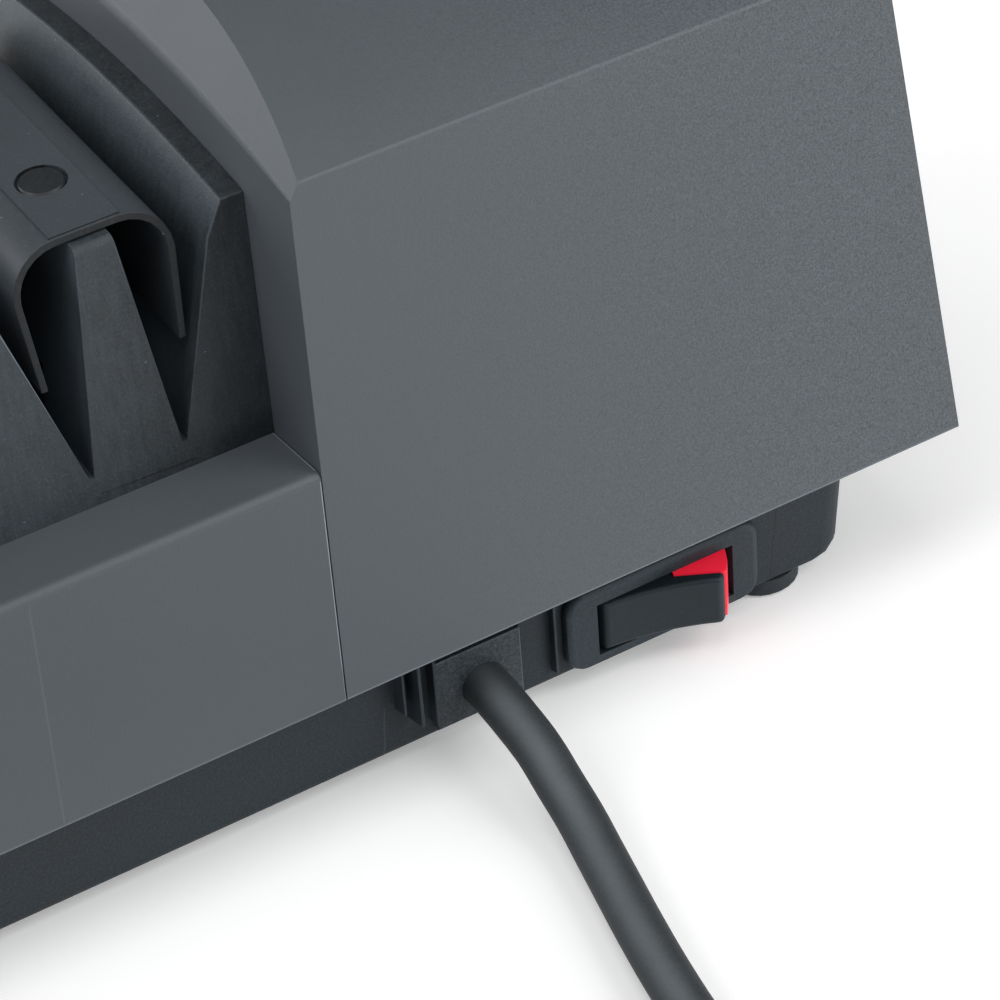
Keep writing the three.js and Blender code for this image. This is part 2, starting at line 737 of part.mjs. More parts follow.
function wallRib(rib) {
  const root = -baseHalfDepth + base.wall / 2;
  const face = -baseHalfDepth - rib.rise;
  const top = flangeBottom + base.flange / 2;
  const outline = [
    [root, rib.bottom],
    [-baseHalfDepth, rib.bottom],
    [face, rib.bottom + rib.rise * ribSlopeShare],
    [face, top],
    [root, top],
  ];
  return prism('x', outline, rib.x, rib.x + rib.width);
}

function switchCuts() {
  const opening = block(
    [rocker.x - rocker.reach - fit.slide, rocker.x + rocker.reach + fit.slide],
    [bezelFace - fit.overrun, -baseHalfDepth + base.wall + fit.overrun],
    [rocker.bottom - fit.slide, rocker.top + fit.slide],
  );
  const pocket = block(
    [rocker.x - switchOuter.half - fit.gap, rocker.x + switchOuter.half + fit.gap],
    [-baseHalfDepth, -baseHalfDepth + switchBody.depth + fit.gap * 2],
    [switchOuter.bottom - fit.gap, switchOuter.top + fit.gap],
  );
  return [opening, pocket];
}

function cordPlateCuts() {
  const gap = fit.gap;
  const span = [plateSpan[0] - gap, plateSpan[1] + gap];
  const through = [-baseHalfDepth - fit.overrun, -baseHalfDepth + base.wall + fit.overrun];
  const lip = cordPlate.lip + gap;
  const inside = [-baseHalfDepth + base.wall, -baseHalfDepth + base.wall + gap * 2 + cordPlate.flange];
  return [
    block(span, through, [cordPlate.bottom, cordPlate.top + cordPlate.headroom]),
    block([span[0] - lip, span[1] + lip], inside, [cordPlate.bottom, cordPlate.top + lip]),
  ];
}

function cornerHoles(shapeAt) {
  const { x, y } = cornerPlace;
  return [-1, 1].flatMap((side) => [-1, 1].map((face) => shapeAt([side * x, face * y, 0])));
}

function footPlaces() {
  const [x, y] = [baseHalfLength - foot.endInset, baseHalfDepth - foot.sideInset];
  const place = (face, side) => ({ face, side, x: side * x, y: face * y });
  return [-1, 1].flatMap((face) => [-1, 1].map((side) => place(face, side)));
}

function baseTray() {
  const rootHeight = base.bottom + base.floor / 2;
  const posts = cornerHoles((centre) => {
    return rod('z', corner.postRadius, rootHeight, corner.postTop, centre);
  });
  const cradle = baseHalfDepth - stator.cradleInset;
  const cradles = [-1, 1].map((face) => {
    const y = [face * cradle - base.wall / 2, face * cradle + base.wall / 2];
    return block([stator.left, stator.right], y, [rootHeight, statorBottom]);
  });
  const tub = baseOuter().add(baseFlange());
  const bare = join([tub.subtract(baseHollow()), bezelPad(), ...wallRibs.map(wallRib)]);
  const sinks = cornerHoles((centre) => rod('z', corner.headRadius + fit.slide, 0, corner.headSeat, centre));
  const bores = cornerHoles((centre) => {
    return rod('z', corner.shankRadius + fit.slide, 0, corner.postTop + fit.overrun, centre);
  });
  const stems = footPlaces().map(({ x, y }) => {
    return rod('z', foot.stemRadius + fit.gap, 0, floorTop + fit.overrun, [x, y, 0]);
  });
  const slots = Array.from({ length: vents.count }, (_, i) => {
    const x = vents.x + i * vents.pitch;
    const across = [x - vents.width / 2, x + vents.width / 2];
    return block(across, [-vents.half, vents.half], [0, floorTop + fit.overrun]);
  });
  const full = join([cut(bare, [...switchCuts(), ...cordPlateCuts()]), ...posts, ...cradles]);
  return cut(full, [...sinks, ...bores, ...stems, ...slots]);
}

piece('base_tray', baseTray(), 'black');

footPlaces().forEach(({ face, side, x, y }) => {
  const profile = [
    [0, 0],
    [foot.radius - foot.crown, 0],
    [foot.radius, foot.crown],
    [foot.radius, base.bottom],
    [foot.stemRadius, base.bottom],
    [foot.stemRadius, base.bottom + foot.stemLength],
    [0, base.bottom + foot.stemLength],
  ];
  const name = `foot_${face < 0 ? 'front' : 'rear'}_${side < 0 ? 'left' : 'right'}`;
  piece(name, turned('z', profile, [x, y, 0]), 'rubber');
});

[-1, 1].flatMap((side) => [-1, 1].map((face) => [side, face])).forEach(([side, face], i) => {
  const low = corner.headSeat - corner.headHeight;
  const top = corner.headSeat + corner.shankLength;
  const profile = [
    [0, low],
    [corner.headRadius - corner.headEdge, low],
    [corner.headRadius, low + corner.headEdge],
    [corner.headRadius, corner.headSeat],
    [corner.shankRadius, corner.headSeat],
    [corner.shankRadius, top],
    [0, top],
  ];
  const place = [side * cornerPlace.x, face * cornerPlace.y, 0];
  piece(`base_screw_${i + 1}`, turned('z', profile, place, facets.small), 'steel');
});

// Rocker switch: cap and flag turn together about an upright axis just behind the bezel.
const pivotY = -baseHalfDepth + rocker.inset;

function rockerTurn(shape) {
  return shape.rotate([0, 0, -rockerTilt]).translate([rocker.x, pivotY, 0]);
}

function rockerOutline() {
  const half = Math.sqrt(rocker.reach ** 2 - rocker.endDepth ** 2);
  const endAngle = Math.atan2(rocker.endDepth, half);
  const backAngle = Math.asin(rocker.back / 2 / rocker.reach);
  const radius = (half ** 2 + rocker.dish ** 2) / (2 * rocker.dish);
  const spread = Math.asin(half / radius);
  const middle = [0, -rocker.endDepth - Math.sqrt(radius ** 2 - half ** 2)];
  const dish = arcPoints(middle, radius, Math.PI / 2 + spread, Math.PI / 2 - spread, facets.corner * 2);
  const rightEnd = arcPoints([0, 0], rocker.reach, -endAngle, backAngle);
  const leftEnd = arcPoints([0, 0], rocker.reach, Math.PI - backAngle, Math.PI + endAngle);
  return [...dish, ...rightEnd, [rocker.back, rocker.back], [-rocker.back, rocker.back], ...leftEnd];
}

function flagOutline(grow) {
  const start = rocker.flagStart - grow;
  const reach = rocker.reach + grow;
  const back = rocker.back + grow;
  const slope = (rocker.flagEndDepth - rocker.flagDepth) / (rocker.reach - rocker.flagStart);
  const frontAt = (x) => -rocker.flagDepth - slope * (x - rocker.flagStart) - grow * Math.hypot(1, slope);
  return [[start, frontAt(start)], [reach, frontAt(reach)], [reach, back], [start, back]];
}

function rockerShapes() {
  const whole = prism('z', rockerOutline(), rocker.bottom, rocker.top);
  const pinSpan = [rocker.bottom - rocker.trunnion, rocker.top + rocker.trunnion];
  const pins = rod('z', rocker.trunnionRadius, ...pinSpan, [0, 0, 0]);
  const socket = prism('z', flagOutline(fit.gap), rocker.bottom - fit.overrun, rocker.top + fit.overrun);
  const flag = whole.intersect(prism('z', flagOutline(0), rocker.bottom, rocker.top));
  return { cap: rockerTurn(whole.subtract(socket).add(pins)), flag: rockerTurn(flag) };
}

const rockerParts = rockerShapes();
piece('rocker_cap', rockerParts.cap, 'black');
piece('rocker_flag', rockerParts.flag, 'red');

function switchBodyShape() {
  const front = -baseHalfDepth + fit.gap;
  const outer = block(
    [rocker.x - switchOuter.half, rocker.x + switchOuter.half],
    [front, front + switchBody.depth],
    [switchOuter.bottom, switchOuter.top],
  );
  const cavity = block(
    [rocker.x - rocker.reach - fit.slide, rocker.x + rocker.reach + fit.slide],
    [front - fit.overrun, front + switchBody.cavity],
    [rocker.bottom - fit.slide, rocker.top + fit.slide],
  );
  const centre = [rocker.x, pivotY, 0];
  const holes = rod('z', rocker.trunnionRadius + fit.gap, base.bottom, rocker.top + fit.overrun, centre);
  return cut(outer, [cavity, holes]);
}

piece('switch_body', switchBodyShape(), 'black');

// Cord plate in the base's front wall, and the clamp that grips the cord behind it.
function cordPlateShape() {
  const face = -baseHalfDepth - cordPlate.rise;
  const back = -baseHalfDepth + base.wall + fit.gap;
  const plate = block(plateSpan, [face, back + cordPlate.flange / 2], [cordPlate.bottom, cordPlate.top]);
  const flange = block(
    [plateSpan[0] - cordPlate.lip, plateSpan[1] + cordPlate.lip],
    [back, back + cordPlate.flange],
    [cordPlate.bottom, cordPlate.top + cordPlate.lip],
  );
  const centre = [cord.exitX, 0, cord.exitHeight];
  const hole = rod('y', cord.radius + fit.slide, -halfDepth, 0, centre, facets.round);
  return plate.add(flange).subtract(hole);
}

piece('cord_plate', cordPlateShape(), 'black');

const clampFront = -baseHalfDepth + cord.clampDepth + fit.gap;
const clampBody = block(
  [cord.exitX - cordClamp.width / 2, cord.exitX + cordClamp.width / 2],
  [clampFront, clampFront + cordClamp.depth],
  [floorTop, cordClamp.top],
);
const coreWay = rod('y', cordClamp.coreRadius, -halfDepth, halfDepth, [cord.exitX, 0, cord.exitHeight]);
piece('cord_clamp', clampBody.subtract(coreWay), 'nylon');

// Motor: a laminated stack with the winding on its yoke, between two brackets that carry the shaft.
const shaftLine = [0, 0, shaft.height];
const windowTop = stator.top - stator.window;
const windowBottom = windowTop - stator.window;

function statorStack() {
  const body = block([stator.left, stator.right], [-stator.half, stator.half], [statorBottom, stator.top]);
  const span = [stator.left - fit.overrun, stator.right + fit.overrun];
  const opening = block(span, [-stator.windowHalf, stator.windowHalf], [windowBottom, windowTop]);
  const bore = rod('x', stator.boreRadius, ...span, shaftLine, facets.round);
  return cut(body, [opening, bore, ...screwWays(span)]);
}

function screwWays(span) {
  const radius = motorScrew.radius + fit.gap;
  return [-1, 1].map((face) => rod('x', radius, ...span, [0, face * motorScrew.y, shaft.height]));
}

function yokeSleeve(clear, wall, from, to) {
  const grow = (value) => [stator.left - value, stator.right + value];
  const outer = clear + wall;
  const shell = block(grow(outer), [from, to], [windowTop - outer, stator.top + outer]);
  const inside = [from - fit.overrun, to + fit.overrun];
  return shell.subtract(block(grow(clear), inside, [windowTop - clear, stator.top + clear]));
}

function coilBobbin() {
  const end = stator.windowHalf - fit.gap;
  const sleeve = yokeSleeve(fit.gap, bobbin.tube, -end, end);
  const cheek = bobbin.tube + bobbin.winding;
  const cheeks = [[-end, -end + bobbin.flange], [end - bobbin.flange, end]];
  return join([sleeve, ...cheeks.map(([from, to]) => yokeSleeve(fit.gap, cheek, from, to))]);
}

function statorWinding() {
  const end = stator.windowHalf - fit.gap * 2 - bobbin.flange;
  return yokeSleeve(fit.gap * 2 + bobbin.tube, bobbin.winding - fit.gap * 2, -end, end);
}

function motorBracket(side) {
  const face = side > 0 ? stator.right : stator.left;
  const outerX = face + side * bracket.reach;
  const innerX = outerX - side * bracket.plate;
  const order = (a, b) => (a < b ? [a, b] : [b, a]);
  const heights = [shaft.height - bracket.half, shaft.height + bracket.half];
  const plate = block(order(innerX, outerX), [-stator.half, stator.half], heights);
  const legs = [-1, 1].map((hand) => {
    const y = order(hand * stator.half, hand * (stator.half - bracket.leg));
    return block(order(face, outerX), y, heights);
  });
  const bossEnds = order(outerX + side * bracket.bossOut, outerX - side * bracket.bossIn);
  const boss = rod('x', bracket.bossRadius, ...bossEnds, shaftLine);
  const bore = rod('x', bush.radius + fit.gap, outerX - bracket.reach, outerX + bracket.reach, shaftLine);
  const screwSpan = order(face - side * fit.overrun, outerX + side * fit.overrun);
  return cut(join([plate, ...legs, boss]), [bore, ...screwWays(screwSpan)]);
}

function bearingBush(middle) {
  const ends = [middle - bush.length / 2, middle + bush.length / 2];
  return tube('x', shaft.radius + fit.gap, bush.radius, ...ends, shaftLine);
}

piece('stator_stack', statorStack(), 'iron');
piece('coil_bobbin', coilBobbin(), 'nylon');
piece('stator_winding', statorWinding(), 'copper');
piece('inner_bracket', motorBracket(-1), 'alloy');
piece('outer_bracket', motorBracket(1), 'alloy');
const bushShift = bracket.reach + (bracket.bossOut - bracket.bossIn) / 2;
piece('inner_bush', bearingBush(stator.left - bushShift), 'brass');
piece('outer_bush', bearingBush(stator.right + bushShift), 'brass');

[-1, 1].forEach((face, i) => {
  const seat = stator.right + bracket.reach;
  const profile = [
    [0, stator.left - bracket.reach],
    [motorScrew.radius, stator.left - bracket.reach],
    [motorScrew.radius, seat],
    [motorScrew.headRadius, seat],
    [motorScrew.headRadius, seat + motorScrew.head],
    [0, seat + motorScrew.head],
  ];
  const centre = [0, face * motorScrew.y, shaft.height];
  piece(`motor_screw_${i + 1}`, turned('x', profile, centre, facets.small), 'steel');
});

// Bearing block that carries the far end of the shaft.
const pillarX = pillar.endInset - halfLength;

function bearingBlock() {
  const outline = [
    [-pillar.footHalf, floorTop],
    [pillar.footHalf, floorTop],
    [pillar.headRadius, shaft.height],
    ...arcPoints([0, shaft.height], pillar.headRadius, 0, Math.PI, facets.corner * 2).slice(1),
  ];
  const ends = [pillarX - pillar.thickness / 2, pillarX + pillar.thickness / 2];
  const bore = rod('x', bush.radius + fit.gap, ends[0] - fit.overrun, ends[1] + fit.overrun, shaftLine);
  return prism('x', outline, ...ends).subtract(bore);
}

piece('bearing_block', bearingBlock(), 'nylon');
piece('far_bush', bearingBush(pillarX), 'brass');

const magnetMiddle = stageCentres[Math.floor(stages.count / 2)];
piece('swarf_magnet', block(
  [magnetMiddle - magnet.half, magnetMiddle + magnet.half],
  [-magnet.depth / 2, magnet.depth / 2],
  [floorTop, floorTop + magnet.height],
), 'iron');

// Rotating parts: shaft with its stop rings, rotor core and fan.
function rotorShaft() {
  const rings = stageCentres.flatMap((x) => [-1, 1].map((side) => {
    const start = x + side * (disc.face + fit.gap);
    return [start, start + side * shaft.ring].sort((a, b) => a - b);
  }));
  const ends = [shaft.farInset - halfLength, halfLength - shaft.nearInset];
  const bar = rod('x', shaft.radius, ...ends, shaftLine);
  return join([bar, ...rings.map(([from, to]) => rod('x', shaft.ringRadius, from, to, shaftLine))]);
}

function rotorCoreShape() {
  const bore = shaft.radius + fit.gap;
  const profile = [
    [bore, stator.left - rotorCore.ring],
    [rotorCore.ringRadius, stator.left - rotorCore.ring],
    [rotorCore.ringRadius, stator.left],
    [rotorCore.radius, stator.left],
    [rotorCore.radius, stator.right],
    [rotorCore.ringRadius, stator.right],
    [rotorCore.ringRadius, stator.right + rotorCore.ring],
    [bore, stator.right + rotorCore.ring],
    [bore, stator.left - rotorCore.ring],
  ];
  return turned('x', profile, shaftLine);
}

function fanShape() {
  const start = halfLength - fan.endInset;
  const middle = start + fan.width / 2;
  const bladeHalf = fan.blade / 2;
  const root = fan.hubRadius - fan.blade;
  const tip = halfDepth - fan.sideInset;
  const bladeTool = block([-fan.width / 2, fan.width / 2], [-bladeHalf, bladeHalf], [root, tip]);
  const blades = Array.from({ length: fan.count }, (_, i) => {
    const turnedBlade = bladeTool.rotate([0, 0, fanPitch]).rotate([(360 * i) / fan.count, 0, 0]);
    return turnedBlade.translate([middle, 0, shaft.height]);
  });
  const hub = rod('x', fan.hubRadius, start, start + fan.width, shaftLine, facets.round);
  const bore = rod('x', shaft.radius + fit.gap, start - fan.width, start + fan.width * 2, shaftLine);
  return join([hub, ...blades]).subtract(bore);
}

piece('rotor_shaft', rotorShaft(), 'steel');
piece('rotor_core', rotorCoreShape(), 'iron');
piece('fan', fanShape(), 'nylon');

// Sharpening discs: each pair faces outward and a spring pushes its two discs apart.
function discShape(x, side) {
  const bore = shaft.radius + fit.slide;
  const profile = [
    [bore, disc.hubInner],
    [disc.hubRadius, disc.hubInner],
    [disc.hubRadius, disc.backInner],
    [disc.radius, disc.backInner],
    [disc.radius, disc.rim],
    [disc.knee, disc.face],
    [bore, disc.face],
    [bore, disc.hubInner],
  ];
  const placed = profile.map(([radius, along]) => [radius, x + side * along]);
  return turned('x', side > 0 ? placed : placed.reverse(), shaftLine);
}

// A tube along a line of points that winds round one direction.
function windingTube(points, radius, sides, windsRound) {
  return lofted(points.map((point, i) => {
    const before = points[Math.max(i - 1, 0)];
    const after = points[Math.min(i + 1, points.length - 1)];
    const tangent = after.clone().sub(before).normalize();
    const across = new THREE.Vector3().crossVectors(tangent, windsRound).normalize();
    const up = new THREE.Vector3().crossVectors(across, tangent);
    return Array.from({ length: sides }, (_, k) => {
      const angle = (2 * Math.PI * (k + 0.5)) / sides;
      const place = point.clone().addScaledVector(across, radius * Math.cos(angle));
      return place.addScaledVector(up, radius * Math.sin(angle)).toArray();
    });
  }));
}

function discSpringShape(x) {
  const reach = disc.backInner - fit.gap - discSpring.wire / 2;
  const steps = discSpring.curls * cordFacets.wireTurn;
  const points = Array.from({ length: steps + 1 }, (_, i) => {
    const angle = (2 * Math.PI * i) / cordFacets.wireTurn;
    const along = -reach + (2 * reach * i) / steps;
    const y = discSpring.radius * Math.cos(angle);
    const z = shaft.height + discSpring.radius * Math.sin(angle);
    return new THREE.Vector3(x + along, y, z);
  });
  return windingTube(points, discSpring.wire / 2, cordFacets.wireRing, X);
}

stageCentres.forEach((x, i) => {
  const finish = i === 0 ? 'polisher' : 'diamond';
  piece(`disc_${i + 1}_right`, discShape(x, 1), finish);
  piece(`disc_${i + 1}_left`, discShape(x, -1), finish);
  piece(`disc_spring_${i + 1}`, discSpringShape(x), 'steel');
});

// Cord. The coil's turns come from a formula: the radius shrinks at a steady rate to the middle,
// where the cord climbs a layer in half a turn, and grows again above.
const coilSpread = (coil.turns * coil.spacing) / 4;
const coilOuter = coil.radius + coilSpread;
const coilSteps = Math.round(coil.turns * cordFacets.coilTurn);
const coilY = -baseHalfDepth - coil.forward;

function coilPoint(turn) {
  const middle = coil.turns / 2;
  const radius = coilOuter - coil.spacing * Math.min(turn, coil.turns - turn);
  const climb = Math.min(Math.max((turn - middle) * 2 + 0.5, 0), 1);
  const lift = climb * climb * (3 - 2 * climb);
  const angle = -2 * Math.PI * turn;
  const z = coil.lie + coil.spacing * lift;
  return new THREE.Vector3(coil.x + radius * Math.cos(angle), coilY + radius * Math.sin(angle), z);
}

function coilPoints() {
  const lead = cord.radius * 2;
  const turns = Array.from({ length: coilSteps + 1 }, (_, i) => coilPoint((coil.turns * i) / coilSteps));
  const first = turns[0].clone().add(new THREE.Vector3(0, lead, 0));
  const last = turns[coilSteps].clone().add(new THREE.Vector3(-lead, 0, 0));
  return [first, ...turns, last];
}

function leastSelfGap(points) {
  const near = Math.ceil(coilSteps / coil.turns / 2);
  let least = Infinity;
  points.forEach((point, i) => {
    for (let k = i + near; k < points.length; k += 1) least = Math.min(least, point.distanceTo(points[k]));
  });
  return least - cord.radius * 2;
}

const windings = coilPoints();
piece('cord_coil', windingTube(windings, cord.radius, cordFacets.coilRing, Z), 'cord');

// The hand-laid route from the clamp, out through the plate, down to the table and to the coil,
// as places from the cord's exit and the base's front wall; the tail's are from the end of the coil.
const coilStart = windings[0];
const coilEnd = windings[windings.length - 1];
const stretchRoute = [
  [0, 5, 9.4],
  [0, -2.7, 9.4],
  [-0.2, -9.6, 9.2],
  [-0.3, -16, 8.2],
  [-0.6, -21.7, 6.3],
  [-1, -27.4, 4.7],
  [-2.1, -33.8, 3.8],
  [-3.6, -41.2, 3.5],
  [-5.2, -48.7, 3.5],
  [-6.9, -57.7, 3.5],
  [-8.5, -68.7, 3.5],
  [-9.4, -81.7, 3.5],
  [-9.7, -94.7, 3.5],
];
const tailRoute = [
  [-10.1, 0, 10.5],
  [-19.1, 0, 9.1],
  [-28.1, 0, 7.6],
];

function cordTube(points) {
  const curve = new THREE.CatmullRomCurve3(points, false, 'centripetal');
  const ring = Array.from({ length: cordFacets.ring }, (_, k) => {
    const angle = (2 * Math.PI * k) / cordFacets.ring;
    return new THREE.Vector2(cord.radius * Math.cos(angle), cord.radius * Math.sin(angle));
  });
  const length = curve.getLength();
  const settings = { steps: Math.round(length / cord.step), bevelEnabled: false, extrudePath: curve };
  return { shape: outward(new THREE.ExtrudeGeometry(new THREE.Shape(ring), settings)), length };
}

const toPoints = (route, from) => route.map(([x, y, z]) => new THREE.Vector3(x + from.x, y + from.y, z));
const shifted = (point, x, y) => point.clone().add(new THREE.Vector3(x, y, 0));
const stretchEnd = shifted(coilStart, 0, fit.gap);
const exit = { x: cord.exitX, y: -baseHalfDepth };
const stretchRun = [...toPoints(stretchRoute, exit), shifted(stretchEnd, 0, cord.radius), stretchEnd];
const stretch = cordTube(stretchRun);
piece('cord_stretch', stretch.shape, 'cord');

const plugHeight = plug.height / 2;
const plugFront = coilEnd.x - plug.reach;
const sleeveEndX = plugFront + plug.length + plug.sleeve;
const tailStart = shifted(coilEnd, -fit.gap, 0);
const tailEnd = new THREE.Vector3(sleeveEndX + fit.gap, coilEnd.y, plugHeight);
const tail = cordTube([
  tailStart,
  shifted(tailStart, -cord.radius, 0),
  ...toPoints(tailRoute, coilEnd),
  shifted(tailEnd, cord.lead, 0),
  tailEnd,
]);
piece('cord_tail', tail.shape, 'cord');

// Plug: a moulded body with a tapered sleeve and two flat blades.
function plugBody() {
  const half = plug.width / 2;
  const rear = plug.rear / 2;
  const back = plugFront + plug.length;
  const y = coilEnd.y;
  const outline = [
    [plugFront, y - half],
    [plugFront + plug.shoulder, y - half],
    [back, y - rear],
    [back, y + rear],
    [plugFront + plug.shoulder, y + half],
    [plugFront, y + half],
  ];
  const body = prism('z', outline, 0, plug.height);
  const root = back - plug.sleeveRoot;
  const sleeve = [[0, root], [rear, root], [plug.sleeveEnd, sleeveEndX], [0, sleeveEndX]];
  return body.add(turned('x', sleeve, [0, y, plugHeight]));
}

piece('plug_body', plugBody(), 'black');
[-1, 1].forEach((side) => {
  const y = coilEnd.y + (side * blade.spacing) / 2;
  const z = [plugHeight - blade.height / 2, plugHeight + blade.height / 2];
  const tipX = plugFront - blade.length;
  const outline = [
    [plugFront, z[0]],
    [plugFront, z[1]],
    [tipX + blade.tip, z[1]],
    [tipX, z[1] - blade.tip],
    [tipX, z[0] + blade.tip],
    [tipX + blade.tip, z[0]],
  ];
  const name = `plug_blade_${side < 0 ? 'front' : 'rear'}`;
  piece(name, prism('y', outline, y - blade.thickness / 2, y + blade.thickness / 2), 'brass');
});

const coilLength = new THREE.CatmullRomCurve3(windings).getLength();
console.log(`least gap of the coil to itself ${leastSelfGap(windings).toFixed(2)} mm`);
console.log(`cord length ${(stretch.length + coilLength + tail.length).toFixed(0)} mm`);

export default model;
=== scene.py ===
# Electric knife sharpener with three knife stages, dressed for a plain studio picture.
import json
import math
import bmesh
import bpy
from mathutils import Matrix, Vector

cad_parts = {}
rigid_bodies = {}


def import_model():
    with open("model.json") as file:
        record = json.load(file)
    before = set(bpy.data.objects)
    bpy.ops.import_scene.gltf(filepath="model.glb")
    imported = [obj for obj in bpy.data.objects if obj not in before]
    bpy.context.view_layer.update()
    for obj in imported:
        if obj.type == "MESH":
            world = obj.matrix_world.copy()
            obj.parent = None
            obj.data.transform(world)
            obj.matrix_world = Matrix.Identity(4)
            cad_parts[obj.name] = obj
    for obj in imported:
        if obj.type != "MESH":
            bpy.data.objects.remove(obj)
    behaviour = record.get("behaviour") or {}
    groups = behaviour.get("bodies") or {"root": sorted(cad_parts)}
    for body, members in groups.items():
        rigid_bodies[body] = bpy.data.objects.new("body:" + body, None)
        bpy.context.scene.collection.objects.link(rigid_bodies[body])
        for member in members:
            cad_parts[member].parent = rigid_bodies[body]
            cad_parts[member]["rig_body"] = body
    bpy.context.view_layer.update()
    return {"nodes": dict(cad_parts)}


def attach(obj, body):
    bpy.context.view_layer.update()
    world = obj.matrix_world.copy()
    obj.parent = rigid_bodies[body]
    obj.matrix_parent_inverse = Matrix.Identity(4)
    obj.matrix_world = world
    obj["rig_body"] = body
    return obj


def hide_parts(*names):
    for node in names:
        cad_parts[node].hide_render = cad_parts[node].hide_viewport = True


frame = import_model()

mm = 0.001
nodes = frame["nodes"]
bodyOf = {name: node["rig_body"] for name, node in nodes.items()}
print("frame loaded,", len(nodes), "nodes")


# The camera stands where the photograph was taken from.
cameraView = {
    "eye": (-0.14645, -0.41567, 0.38298),
    "right": (0.85234, -0.51941, -0.06106),
    "up": (0.36896, 0.51446, 0.77408),
    "back": (-0.37065, -0.68231, 0.63013),
    "lens": 145.27,
    "sensorWidth": 36,
    "clipStart": 0.01,
}


def placeCamera(view):
    data = bpy.data.cameras.new("studioCamera")
    data.lens = view["lens"]
    data.sensor_width = view["sensorWidth"]
    data.clip_start = view["clipStart"]
    camera = bpy.data.objects.new("studioCamera", data)
    columns = Matrix((view["right"], view["up"], view["back"])).transposed()
    camera.matrix_world = Matrix.Translation(view["eye"]) @ columns.to_4x4()
    bpy.context.scene.collection.objects.link(camera)
    bpy.context.scene.camera = camera


placeCamera(cameraView)
print("camera placed")


# Mains cord, in metres, on the same route as its solids.
cordStyle = {
    "radius": 0.00345,
    "length": 1.419,
    "exit": (0.0505, -0.0443, 0.0094),
    "samples": 5,  # points between two points of the route
    "turnSteps": 48,
    "roundness": 10,
}
coilStyle = {"x": -0.007, "y": -0.160, "radius": 0.038, "turns": 5.25, "spacing": 0.0075, "lie": 0.0035}
stretchRoute = [
    (0.0505, -0.0383, 0.0094),
    (0.0505, -0.0460, 0.0094),
    (0.0503, -0.0529, 0.0092),
    (0.0502, -0.0593, 0.0082),
    (0.0499, -0.0650, 0.0063),
    (0.0495, -0.0707, 0.0047),
    (0.0484, -0.0771, 0.0038),
    (0.0469, -0.0845, 0.0035),
    (0.0453, -0.0920, 0.0035),
    (0.0436, -0.1010, 0.0035),
    (0.0420, -0.1120, 0.0035),
    (0.0411, -0.1250, 0.0035),
    (0.0408, -0.1380, 0.0035),
]
tailRoute = [
    (-0.0240, -0.2078, 0.0105),
    (-0.0330, -0.2078, 0.0091),
    (-0.0420, -0.2078, 0.0076),
    (-0.0447, -0.2078, 0.0070),
    (-0.0497, -0.2078, 0.0070),
]


# A curve that passes through every point, eased by the distance between them.
def smoothRoute(points, steps):
    points = [Vector(p) for p in points]
    ends = [points[0] * 2 - points[1]] + points + [points[-1] * 2 - points[-2]]
    route = []
    for i in range(1, len(ends) - 2):
        a, b, c, d = ends[i - 1 : i + 3]
        ab, bc, cd = (math.sqrt((q - p).length) for p, q in ((a, b), (b, c), (c, d)))
        t1, t2, t3 = ab, ab + bc, ab + bc + cd
        for k in range(steps):
            t = t1 + (t2 - t1) * k / steps
            p = a + (b - a) * (t / t1)
            q = b + (c - b) * ((t - t1) / (t2 - t1))
            r = c + (d - c) * ((t - t2) / (t3 - t2))
            s = p + (q - p) * (t / t2)
            u = q + (r - q) * ((t - t1) / (t3 - t1))
            route.append(s + (u - s) * ((t - t1) / (t2 - t1)))
    return route + [points[-1]]


def coilRoute(coil, lead, stepsPerTurn):
    turns = coil["turns"]
    outer = coil["radius"] + turns * coil["spacing"] / 4
    points = []
    for i in range(round(turns * stepsPerTurn) + 1):
        turn = i / stepsPerTurn
        radius = outer - coil["spacing"] * min(turn, turns - turn)
        climb = min(max((turn - turns / 2) * 2 + 0.5, 0), 1)
        lift = climb * climb * (3 - 2 * climb)  # eases onto the second layer
        angle = -2 * math.pi * turn
        height = coil["lie"] + coil["spacing"] * lift
        points.append(Vector((coil["x"] + radius * math.cos(angle), coil["y"] + radius * math.sin(angle), height)))
    first = points[0] + Vector((0, lead, 0))
    last = points[-1] - Vector((lead, 0, 0))
    return [first] + points + [last]


def makeCord(style, coil):
    windings = coilRoute(coil, style["radius"] * 2, style["turnSteps"])
    stretch = smoothRoute(stretchRoute + [windings[0]], style["samples"])
    tail = smoothRoute([windings[-1]] + tailRoute, style["samples"])
    route = stretch[:-1] + windings + tail[1:]
    data = bpy.data.curves.new("mainsCord", "CURVE")
    data.dimensions = "3D"
    data.bevel_depth = style["radius"]
    data.bevel_resolution = style["roundness"]
    data.use_fill_caps = True
    spline = data.splines.new("POLY")
    spline.points.add(len(route) - 1)
    for point, place in zip(spline.points, route):
        point.co = (*place, 1)
    spline.use_smooth = True
    cord = bpy.data.objects.new("mainsCord", data)
    bpy.context.scene.collection.objects.link(cord)
    return cord


mainsCord = makeCord(cordStyle, coilStyle)
print("cord laid")


